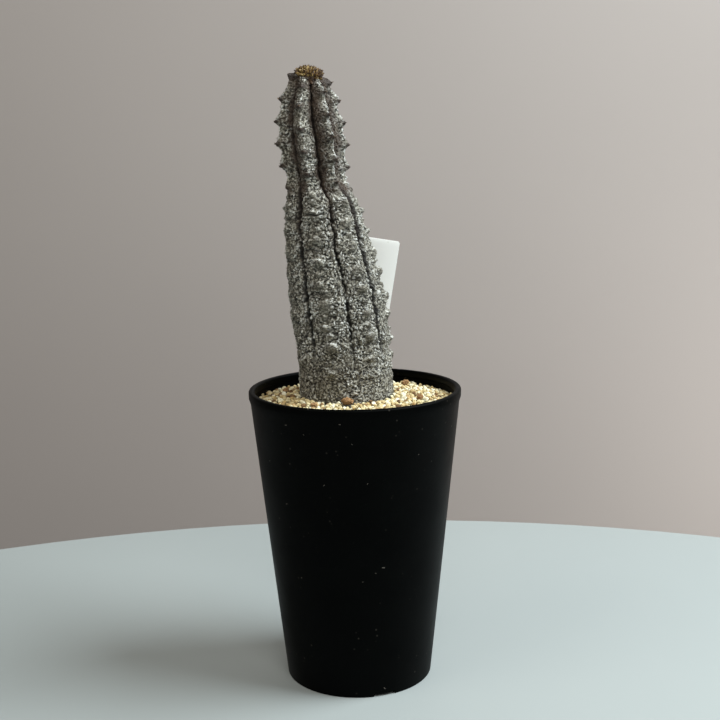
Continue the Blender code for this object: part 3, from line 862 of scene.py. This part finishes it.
def brown_and_flank_shade(skin, scar):
    """How brown the skin is: young grooves, neck, top, old valleys and tooth scars, and painted shade in
    brown on the young left flanks.
    """
    valley = np.clip((skin.share - 0.30) / 0.70, 0, 1)
    grime = ramp(-0.35, 0.4, skin.field(0.0060, 12.0))
    bottom = bell(skin.from_groove, BROWN_GROOVE_SPAN)
    # Painted shade in brown: the young ribs' left flanks face away from the light.
    left_flank_shade = ramp(0.15, 0.40, skin.share) * (skin.side < 0)
    brown = skin.young * (0.75 * bottom + valley * (0.35 + 0.45 * grime) + 0.25 * grime + 0.50 * left_flank_shade)
    brown = brown + 0.7 * grime * bell(skin.level - NECK_LEVEL, BROWN_NECK_SPAN)
    top = ramp(*BROWN_TOP, skin.level) * np.where(np.isin(skin.rib, PALE_TOPPED), 0.0, 0.85)
    old_valley = (1 - skin.young) * np.clip((skin.share - 0.65) / 0.35, 0, 1)
    old_valley = old_valley * ramp(*BROWN_VALLEYS, skin.level)
    return np.maximum(brown, top) + 0.75 * scar + 0.9 * old_valley


def skin_mesh(name, levels, seeds):
    """A length of the stem's skin as one closed mesh: rings of points, each moved to its place."""
    skin = Skin(levels)
    (shelf, eye, rim, under), crease, (crack, lip) = eyes(skin), creases(skin), neck_cracks(skin)
    spike, (groove_line, groove_shade), fold = tooth_spikes(skin), groove_cracks(skin), wrinkles(skin)
    dome, tint = seeds.over(skin)
    crag = crags(skin, dome)
    crusted = ramp(*CRUST_FROM, skin.level)
    flank = ramp(0.10, 0.55, skin.share)
    rough = (1 - 0.6 * eye) * (0.60 + 0.40 * flank) * (0.70 + 0.30 * skin.weathered) * (1 - 0.5 * spike)
    rough = rough * np.clip(0.90 + 1.1 * skin.field(0.0055, 25.0), 0.3, 1.35) * crusted
    rough = rough * (1 - np.clip(crack + lip, 0, 1))
    # A painted highlight along the young crests, weaker on the front rib, on a slight ridge.
    crest_ridge_highlight = skin.young * bell(skin.arc, CREST_SPAN) * ramp(-0.35, 0.15, skin.field(0.0040, 33.0))
    crest_ridge_highlight = crest_ridge_highlight * np.where(skin.rib == 0, 0.3, 1.0)
    relief = main_relief(skin) + EYE_RISE * shelf + RIM_RISE * rim - CREASE_DEPTH * crease
    relief = relief - CRACK_DEPTH * crack - GROOVE_CRACK * groove_line
    relief = relief + SPIKE_RISE * spike + WRINKLE_RISE * fold
    relief = skin.grown * relief + CREST_LINE * crest_ridge_highlight + CRACK_LIP * lip
    relief = relief + DIMPLE_RISE * crusted * skin.field(DIMPLE_SIZE, 30.0)
    relief = relief + CRUST_RISE * rough * (crag - 0.4)
    points = lean_apex(skin.plain + skin.outward * relief[..., None], skin.level, skin.centre)
    # The pit mark is painted shade: near black in the cracks between the crust's lumps, the neck cracks, the
    # creases, under each tubercle and along the groove bottoms.
    pit = np.clip(1.5 - crag / 0.24, 0, 1) * np.clip(rough * 1.3, 0, 1)
    pit = np.maximum.reduce([pit, crack, 0.8 * crease, 0.7 * under, groove_shade])
    # crust: lighter on the raised lumps and darker in the cracks as painted shade, with painted highlights on
    # tubercle rims and crests, and the pale crack lips.
    marks = {
        "crust": crag * rough * 1.25 + 0.9 * rim + 0.7 * lip + 1.1 * crest_ridge_highlight,
        "granule": tint,
        "eye": eye * 1.2,
        "brown": brown_and_flank_shade(skin, tooth_scars(skin)),
        "pit": pit,
        "tip": spike * 1.6,
    }
    marks = {mark: np.clip(values, 0, 1).ravel() for mark, values in marks.items()}
    return mesh_from(name, points.reshape(-1, 3), tube_faces(*skin.level.shape), marks)


def grow_stem(material):
    """The stem's skin in three lengths, so that each keeps to the limit on triangles."""
    seeds = GranuleSeeds()
    ends = [SKIN_FOOT, *SKIN_SPLITS, STEM_TIP]
    for name, low, high in zip(("foot_skin", "trunk_skin", "young_skin"), ends, ends[1:]):
        levels = np.linspace(low, high, round((high - low) / RING_STEP))
        if low == SKIN_FOOT:
            buried = np.linspace(STEM_FOOT, SKIN_FOOT, BURIED_RINGS, endpoint=False)
            levels = np.concatenate([buried, levels])
        new_piece(name, skin_mesh(name, levels, seeds), material, ["stem"])


# Leaves


def leaf_template():
    """A blade along +Z, folded on its midrib and curling towards +X: points, faces, how near the rim."""
    sections = [(0.0, 0.35), (0.2, 0.85), (0.45, 1.0), (0.7, 0.80), (0.9, 0.42), (1.0, 0.08)]
    points, rim = [], []
    for t, width in sections:
        curl = 0.30 * t**2
        thick = 0.16 * (1 - 0.6 * t)
        fold = 0.14 * width
        for x, y in ((fold, -width / 2), (thick, 0.0), (fold, width / 2), (-thick * 0.4, 0.0)):
            points.append((x + curl, y, t))
            rim.append(max(t**3, 0.8 * abs(y) * 2))
    return np.array(points), tube_faces(len(sections), 4), np.array(rim)


def moved(points, matrix, size):
    """Template points scaled to (thickness and curl, width, length) and moved by a matrix."""
    scaled = points * np.array(size)
    return scaled @ np.array(matrix.to_3x3()).T + np.array(matrix.translation)


def crown_dome(seat):
    """The low cushion that the crown's leaves stand on."""
    cushion = bmesh.new()
    bmesh.ops.create_uvsphere(cushion, u_segments=40, v_segments=16, radius=1.0)
    points = np.array([v.co for v in cushion.verts]) * (CROWN_RADIUS, CROWN_RADIUS, CROWN_HEIGHT)
    faces = [[v.index for v in face.verts] for face in cushion.faces]
    cushion.free()
    return moved(points, seat, (1, 1, 1)), faces, {"tint": 0.15, "rim": 0.4}


def grow_crown(material):
    """The tuft on the tip: small ochre leaves with dark brown points, on a low dome that leans forward."""
    rng = random.Random(5)
    points, faces, rim = leaf_template()
    axis = axis_at(STEM_TIP)
    aside, forward = CROWN_ASIDE
    leaning = Matrix.Rotation(APEX_TURN, 4, "Z") @ Matrix.Rotation(CROWN_TILT, 4, "X")
    seat = Matrix.Translation((axis[0] + aside, axis[1] + forward, STEM_TIP - CROWN_SUNK)) @ leaning
    parts = [crown_dome(seat)]
    for i in range(CROWN_LEAVES):
        share = (i + 0.5) / CROWN_LEAVES
        polar = math.acos(1 - 0.97 * share)
        turn = Matrix.Rotation(i * math.pi * (3 - math.sqrt(5)), 4, "Z")
        root = Vector((CROWN_RADIUS * math.sin(polar), 0, CROWN_HEIGHT * math.cos(polar) ** 0.5)) * 0.86
        lean = 0.55 * polar + math.radians(rng.uniform(-40, 40))
        twist = Matrix.Rotation(rng.uniform(0, math.tau), 4, "Z")
        matrix = seat @ turn @ Matrix.Translation(root) @ Matrix.Rotation(lean, 4, "Y") @ twist
        length = LEAF_LENGTH * rng.uniform(0.75, 1.25)
        size = (1.6 * length, LEAF_WIDTH * rng.uniform(0.7, 1.25), length)
        tint = min(1.0, max(0.0, 0.60 - 0.12 * share + rng.uniform(-0.50, 0.50)))
        parts.append((moved(points, matrix, size), faces, {"tint": tint, "rim": 0.85 * rim}))
    for degrees, reach, height, lean in WITHERED_LEAVES:
        foot = Matrix.Translation((axis[0], axis[1], height))
        turn = Matrix.Rotation(math.radians(degrees - 90), 4, "Z") @ Matrix.Translation((reach, 0, 0))
        twist = Matrix.Rotation(rng.uniform(-0.6, 0.6), 4, "Z")
        matrix = foot @ turn @ Matrix.Rotation(math.radians(lean), 4, "Y") @ twist
        length = WITHERED_LENGTH * rng.uniform(0.85, 1.15)
        size = (2.2 * length, 0.75 * length, length)
        marks = {"tint": rng.uniform(0.0, 0.30), "rim": 0.6 * rim}
        parts.append((moved(points, matrix, size), faces, marks))
    tuft = mesh_from("crown_tuft", *merged(parts))
    new_piece("crown_tuft", tuft, material, ["crown_leaves"])


def grow_dry_tips(material):
    """A tiny dry scale on the point of each young tooth."""
    rng = random.Random(8)
    points, faces, rim = leaf_template()
    parts = []
    for rib in range(RIBS):
        for step in range(-5, 2):
            level = row_top(rib) + step * TUBERCLE_PITCH
            if not DRY_TIPS_FROM < level < STEM_TIP + 0.0002:
                continue
            column = rib * STEM_COLUMNS // RIBS
            skin = Skin(np.array([level]))
            relief = main_relief(skin)[0, column] + SPIKE_RISE
            tip = skin.plain[0, column] + skin.outward[0, column] * relief
            at = Vector(lean_apex(tip, level, skin.centre[0, column]))
            length = TIP_LENGTH * rng.uniform(0.8, 1.2)
            sway = Vector((rng.uniform(-0.2, 0.2), rng.uniform(-0.2, 0.2), rng.uniform(-0.45, 0.1)))
            towards = (Vector(skin.outward[0, column]) + sway).normalized()
            turn = towards.to_track_quat("Z", "Y").to_matrix().to_4x4()
            matrix = Matrix.Translation(at - towards * TIP_SUNK) @ turn @ Matrix.Rotation(math.pi / 2, 4, "Z")
            size = (2.6 * length, 1.7 * length, length)
            marks = {"tint": rng.uniform(0.05, 0.45), "rim": 0.5 * rim}
            parts.append((moved(points, matrix, size), faces, marks))
    new_piece("dry_tips", mesh_from("dry_tips", *merged(parts)), material)


# Gravel


def rock_template(rng, rounds=2, planes=9):
    """A broken pebble about 1 across: a ball cut back by random flats and roughened."""
    bm = bmesh.new()
    bmesh.ops.create_icosphere(bm, subdivisions=rounds, radius=0.5)
    points = np.array([v.co for v in bm.verts])
    faces = [[v.index for v in face.verts] for face in bm.faces]
    bm.free()
    normals = rng.normal(size=(planes, 3))
    normals /= np.linalg.norm(normals, axis=1)[:, None]
    reach = rng.uniform(0.30, 0.46, planes)
    facing = points / 0.5 @ normals.T
    cut = np.where(facing > 0.05, reach / np.maximum(facing, 0.05), 9.0).min(axis=1)
    points = points / 0.5 * np.minimum(cut, 0.5)[:, None]
    points += 0.035 * rng.normal(size=points.shape)
    points *= rng.uniform((0.9, 0.75, 0.6), (1.15, 1.0, 0.85))
    return points, faces


def bed_height(x, y):
    return BED_MIDDLE_TOP - (BED_MIDDLE_TOP - BED_EDGE_TOP) * ramp(*BED_SLOPE, np.hypot(x, y))


def outer_radius(height):
    return FOOT_RADIUS + (RIM_RADIUS - LIP_PROUD - FOOT_RADIUS) * height / POT_HEIGHT


def inner_radius(height):
    return outer_radius(height) - WALL


def settle_grains(rng):
    """Drops grains one at a time, each where it lies lowest of some tries: x, y, z, radius."""
    stones = [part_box(f"tan_stone_{i + 1}") for i in range(TAN_STONES)]
    grains = np.zeros((GRAIN_COUNT, 4))
    for n in range(GRAIN_COUNT):
        radius = 0.5 * rng.triangular(*GRAIN_SIZES)
        furthest = inner_radius(BED_EDGE_TOP) - radius * 0.95
        reach = np.sqrt(rng.uniform(GRAVEL_FROM**2, furthest**2, GRAIN_TRIES))
        turn = rng.uniform(0, math.tau, GRAIN_TRIES)
        x, y = reach * np.cos(turn), reach * np.sin(turn)
        floor = bed_height(x, y) - BED_DEPTH + 0.6 * radius
        placed = grains[:n]
        gap = np.hypot(x[:, None] - placed[None, :, 0], y[:, None] - placed[None, :, 1])
        touch = GRAIN_TOUCH * (radius + placed[None, :, 3])
        over = placed[None, :, 2] + np.sqrt(np.maximum(touch**2 - gap**2, 0))
        rest = np.maximum(floor, np.where(gap < touch, over, 0.0).max(axis=1)) if n else floor
        stem = axis_at(rest)
        off_stem = np.hypot(x - stem[:, 0], y - stem[:, 1]) - girth_at(rest)[:, 0] - 0.8 * radius
        blocked = off_stem < 0
        for low, high in stones:
            inside = (x > low[0] - radius * 0.5) & (x < high[0] + radius * 0.5)
            inside &= (y > low[1] - radius * 0.5) & (y < high[1] + radius * 0.5)
            blocked |= inside
        score = rest - bed_height(x, y) + np.where(blocked, 1.0, 0.0)
        best = int(np.argmin(score))
        if score[best] + 0.9 * radius > GRAIN_PROUD:
            continue
        grains[n] = (x[best], y[best], rest[best], radius)
    return grains[grains[:, 3] > 0]


def random_turn(rng):
    """A random turn of a grain that mostly lies flat."""
    lean = Matrix.Rotation(rng.normal(0, 0.5), 3, "X") @ Matrix.Rotation(rng.normal(0, 0.5), 3, "Y")
    return np.array(Matrix.Rotation(rng.uniform(0, math.tau), 3, "Z") @ lean)


def lay_gravel(pale, amber):
    """The gravel: the pale grains, the amber ones among them, and the rough bed below."""
    rng = np.random.default_rng(17)
    rocks = [rock_template(rng) for _ in range(ROCK_SHAPES)]
    grains = settle_grains(rng)
    groups = {"pale": [], "amber": []}
    shade_from, shade_depth = GRAIN_SHADE
    for x, y, z, radius in grains:
        points, faces = rocks[rng.integers(ROCK_SHAPES)]
        placed = points * 2.15 * radius @ random_turn(rng).T + (x, y, z)
        # Painted shade: a grain point darkens the further it lies below the bed's top.
        deep = np.clip((bed_height(x, y) - shade_from - placed[:, 2]) / shade_depth, 0, 1)
        colour = "amber" if rng.uniform() < AMBER_SHARE else "pale"
        groups[colour].append((placed, faces, {"tint": rng.uniform(), "deep": deep}))
    for colour, material in (("pale", pale), ("amber", amber)):
        mesh = mesh_from(f"{colour}_grains", *merged(groups[colour]), smooth=False)
        new_piece(f"{colour}_grains", mesh, material, ["gravel"])
    lay_bed(pale)


def turned_mesh(name, profile, steps):
    """A profile of (radius, height) points turned round Z by a Screw modifier, as a finished mesh."""
    bm = bmesh.new()
    points = [bm.verts.new((radius, 0.0, height)) for radius, height in profile]
    for start, end in zip(points, points[1:]):
        bm.edges.new((start, end))
    maker = new_object(name, mesh_of(bm, name))
    screw = maker.modifiers.new("turn", "SCREW")
    screw.steps = steps
    screw.render_steps = steps
    screw.use_merge_vertices = True
    screw.merge_threshold = 0.00001
    made = frozen(maker)
    bpy.data.objects.remove(maker)
    return made


def lay_bed(material):
    """What shows between the grains: the deep, shaded part of the bed."""
    radii = np.linspace(0, inner_radius(BED_EDGE_TOP) - GAP, 40)
    profile = [(r, float(bed_height(r, 0)) - BED_DEPTH + 0.0004) for r in radii]
    foot = MIX_TOP + GAP
    profile += [(inner_radius(foot) - GAP, foot), (0.0, foot)]
    mesh = turned_mesh("gravel_bed", profile, 120)
    set_marks(mesh, {"tint": 0.3, "deep": 1.0})
    rise, size = BED_ROUGHNESS
    for vert in mesh.vertices:
        if vert.co.z > foot + BED_DEPTH:
            vert.co.z += rise * noise.noise(vert.co / size)
    mesh.shade_smooth()
    new_piece("gravel_bed", mesh, material)


def lay_tan_stones(material):
    """The larger tan stones, each where its solid lies."""
    rng = np.random.default_rng(31)
    for i in range(TAN_STONES):
        node = f"tan_stone_{i + 1}"
        low, high = (np.array(corner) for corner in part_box(node))
        points, faces = rock_template(rng, rounds=4, planes=16)
        rough = lumps(points, 0.16, i) * 0.05 + lumps(points, 0.05, 3 + i) * 0.02
        points = points * (1 + rough)[:, None]
        span = points.max(axis=0) - points.min(axis=0)
        points = (points - points.min(axis=0)) / span * (high - low) + low
        mesh = mesh_from(node, points, faces, {"tint": rng.uniform(0.2, 0.8), "deep": 0.0})
        new_piece(f"tan_pebble_{i + 1}", mesh, material, [node])


# Pot


def pot_profile():
    """The pot's section, from the middle of its floor over the lip to the foot ring and back."""
    floor_top = FOOT_RING_HEIGHT + FLOOR_THICKNESS
    lip_under = POT_HEIGHT - LIP_HEIGHT
    lip_inner = RIM_RADIUS - LIP_WIDTH
    lip_top = POT_HEIGHT - LIP_ROUND
    wall_top = lip_under - 0.0009
    bend_height = floor_top + FLOOR_CORNER
    bend = (inner_radius(bend_height) - FLOOR_CORNER, bend_height)
    return [
        (0.0, floor_top),
        *arc(bend, FLOOR_CORNER, -90, 0, 8),
        (inner_radius(wall_top), wall_top),
        *arc((lip_inner + LIP_FILLET, lip_under + 0.0004), LIP_FILLET, 200, 180, 4),
        *arc((lip_inner + LIP_ROUND, lip_top), LIP_ROUND, 180, 90, 9),
        *arc((RIM_RADIUS - LIP_ROUND, lip_top), LIP_ROUND, 90, 0, 9),
        (RIM_RADIUS, lip_under + LIP_FADE),
        (RIM_RADIUS - 0.00005, lip_under - LIP_FADE),
        (outer_radius(lip_under - 5 * LIP_FADE), lip_under - 5 * LIP_FADE),
        *[(outer_radius(height), height) for height in WALL_BENDS],
        *arc((FOOT_RADIUS - FOOT_EDGE, FOOT_EDGE), FOOT_EDGE, 0, -90, 6),
        (FOOT_RADIUS - FOOT_RING_WIDTH, 0.0),
        (FOOT_RADIUS - FOOT_RING_WIDTH, FOOT_RING_HEIGHT),
        (0.0, FOOT_RING_HEIGHT),
    ]


def cut_pot(shell):
    """Cuts the foot's notches and the floor's drain holes with one cutter."""
    bm = bmesh.new()
    for i in range(NOTCHES):
        angle = NOTCH_ANGLE + i * math.tau / NOTCHES
        spot = Matrix.Rotation(angle, 4, "Z") @ Matrix.Translation((0.0, -FOOT_RADIUS, 0.0))
        size = Matrix.Diagonal((NOTCH_WIDTH, 4 * FOOT_RING_WIDTH, 2 * NOTCH_HEIGHT, 1.0))
        bmesh.ops.create_cube(bm, size=1.0, matrix=spot @ size)
    middle = FOOT_RING_HEIGHT + FLOOR_THICKNESS / 2
    for i in range(DRAINS + 1):
        circle = DRAIN_CIRCLE if i < DRAINS else 0.0
        angle = i * math.tau / DRAINS
        spot = Matrix.Translation((circle * math.cos(angle), circle * math.sin(angle), middle))
        bmesh.ops.create_cone(
            bm, cap_ends=True, segments=48, radius1=DRAIN_RADIUS, radius2=DRAIN_RADIUS,
            depth=3 * FLOOR_THICKNESS, matrix=spot,
        )
    cutter = new_object("cutter", mesh_of(bm, "cutter"))
    cut = shell.modifiers.new("cut", "BOOLEAN")
    cut.operation = "DIFFERENCE"
    cut.object = cutter
    made = frozen(shell)
    shell.modifiers.clear()
    shell.data = made
    bpy.data.objects.remove(cutter)


def mould_pot(material):
    turned = turned_mesh("pot_shell", pot_profile(), POT_TURNS)
    shell = new_piece("pot_shell", turned, material, ["pot"])
    cut_pot(shell)
    shell.data.shade_smooth()
    shell.data.set_sharp_from_angle(angle=math.radians(38))


def scatter_flecks(material):
    """Flat flecks of pale dust stuck to the pot's wall."""
    rng = np.random.default_rng(3)
    parts = []
    for degrees, height, length in FLECKS:
        points, faces = rock_template(rng)
        radius = float(outer_radius(height)) + FLECK_PROUD
        spot = Matrix.Rotation(math.radians(degrees), 4, "Z") @ Matrix.Translation((0.0, -radius, height))
        turn = spot @ Matrix.Rotation(rng.uniform(-0.9, 0.9), 4, "Y")
        size = (length, FLECK_THICKNESS, 0.45 * length)
        parts.append((moved(points, turn, size), faces, {"tint": 0.5, "deep": 0.0}))
    new_piece("dust_flecks", mesh_from("dust_flecks", *merged(parts)), material)


# Label


def cut_label(material):
    """The label: a bevelled strip with a pointed foot and a slight bow."""
    half, tip = LABEL_WIDTH / 2, LABEL_TIP / 2
    shoulder = -LABEL_LENGTH + LABEL_POINT
    right = [(half, shoulder), (half, -LABEL_CORNER), (half - LABEL_CORNER, 0.0)]
    left = [(-x, z) for x, z in reversed(right)]
    outline = [*right, *left, (-tip, -LABEL_LENGTH), (tip, -LABEL_LENGTH)]
    bm = bmesh.new()
    face = bm.faces.new([bm.verts.new((x, -LABEL_THICKNESS / 2, z)) for x, z in outline])
    raised = bmesh.ops.extrude_face_region(bm, geom=[face])["geom"]
    back = [v for v in raised if isinstance(v, bmesh.types.BMVert)]
    bmesh.ops.translate(bm, vec=(0, LABEL_THICKNESS, 0), verts=back)
    bmesh.ops.recalc_face_normals(bm, faces=bm.faces)
    rim = [e for e in bm.edges if abs(e.verts[0].co.y - e.verts[1].co.y) < 1e-6]
    bmesh.ops.bevel(bm, geom=rim, offset=LABEL_BEVEL, segments=2, affect="EDGES", profile=0.6)
    for height in LABEL_ROWS:
        geometry = bm.verts[:] + bm.edges[:] + bm.faces[:]
        bmesh.ops.bisect_plane(bm, geom=geometry, plane_co=(0, 0, height), plane_no=(0, 0, 1))
    place_label = Matrix.Translation(LABEL_TOP) @ Matrix.Rotation(LABEL_LEAN, 4, "Y")
    for vert in bm.verts:
        vert.co.y += LABEL_BOW * max(0.0, 1 + vert.co.z / LABEL_BOW_LENGTH) ** 2
        vert.co = place_label @ vert.co
    mesh = mesh_of(bm, "plant_label")
    mesh.shade_smooth()
    mesh.set_sharp_from_angle(angle=math.radians(40))
    new_piece("plant_label", mesh, material, ["label"])


# Studio


def set_camera():
    camera = new_object("camera", bpy.data.cameras.new("camera"))
    turn = Matrix.Rotation(CAMERA_YAW, 4, "Z") @ Matrix.Rotation(CAMERA_PITCH, 4, "X")
    camera.matrix_world = Matrix.Translation(CAMERA_PLACE) @ turn @ Matrix.Rotation(CAMERA_ROLL, 4, "Z")
    camera.data.lens = CAMERA_LENS
    camera.data.sensor_width = 36.0
    camera.data.clip_start = 0.01
    bpy.context.scene.camera = camera


def set_stage():
    """A pale round table top and a pale wall behind it."""
    bm = bmesh.new()
    bmesh.ops.create_cone(
        bm, cap_ends=True, segments=128, radius1=TABLE_RADIUS, radius2=TABLE_RADIUS, depth=TABLE_THICKNESS,
        matrix=Matrix.Translation((0.0, TABLE_BACK - TABLE_RADIUS, -TABLE_THICKNESS / 2)),
    )
    floor = new_object("floor", mesh_of(bm, "floor"))
    floor.data.materials.append(surface_finish("pale_floor", TABLE_TONE))
    bm = bmesh.new()
    upright = Matrix.Translation((0, WALL_PLACE, 0)) @ Matrix.Rotation(math.pi / 2, 4, "X")
    bmesh.ops.create_grid(bm, x_segments=1, y_segments=1, size=WALL_SPREAD, matrix=upright)
    wall = new_object("backdrop", mesh_of(bm, "backdrop"))
    wall.data.materials.append(surface_finish("pale_wall", WALL_TONE))


def area_light(name, azimuth, elevation, distance, size, power, colour):
    """A soft light that looks at the plant."""
    lamp = new_object(name, bpy.data.lights.new(name, "AREA"))
    lamp.data.shape = "DISK"
    lamp.data.size = size
    lamp.data.energy = power
    lamp.data.color = colour
    a, e = math.radians(azimuth), math.radians(elevation)
    offset = Vector((math.sin(a) * math.cos(e), -math.cos(a) * math.cos(e), math.sin(e)))
    lamp.location = LIGHTS_AIM + offset * distance
    lamp.rotation_euler = (-offset).to_track_quat("-Z", "Y").to_euler()
    return lamp


def set_lights():
    for name, values in LIGHTS.items():
        area_light(name, *values)
    wall_light = area_light("wall_wash", *WALL_LIGHT)
    wall_light.location = WALL_LIGHT_PLACE
    towards = WALL_LIGHT_AIM - WALL_LIGHT_PLACE
    wall_light.rotation_euler = towards.to_track_quat("-Z", "Y").to_euler()
    wall_light.data.spread = WALL_LIGHT_SPREAD
    world = bpy.data.worlds.new("studio")
    bpy.context.scene.world = world
    world.use_nodes = True
    give(world.node_tree.nodes["Background"], {"Color": ROOM_TONE, "Strength": ROOM_LIGHT})
    bpy.context.scene.view_settings.view_transform = "Standard"


def main():
    set_camera()
    set_stage()
    set_lights()
    make_grain()
    make_dust()
    pale = pumice_finish(
        "pale_pumice", (0.10, (0.48, 0.34, 0.14)), (0.40, (0.72, 0.60, 0.33)), (0.70, (0.86, 0.80, 0.54)),
        (0.95, (0.92, 0.90, 0.74)),
    )
    amber = pumice_finish(
        "amber_pumice", (0.10, (0.10, 0.055, 0.025)), (0.45, (0.26, 0.15, 0.06)), (0.90, (0.55, 0.38, 0.18)),
    )
    tan = pumice_finish("tan_stone", (0.2, (0.30, 0.16, 0.065)), (0.8, (0.50, 0.31, 0.15)))
    fleck = pumice_finish("dust_fleck", (0.2, (0.06, 0.055, 0.045)), (0.8, (0.11, 0.10, 0.08)))
    leaf = leaf_finish()
    mould_pot(pot_finish())
    scatter_flecks(fleck)
    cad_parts["potting_mix"].data.materials[0] = soil_finish()
    lay_gravel(pale, amber)
    lay_tan_stones(tan)
    grow_stem(crust_finish())
    grow_crown(leaf)
    grow_dry_tips(leaf)
    cut_label(label_finish())


main()
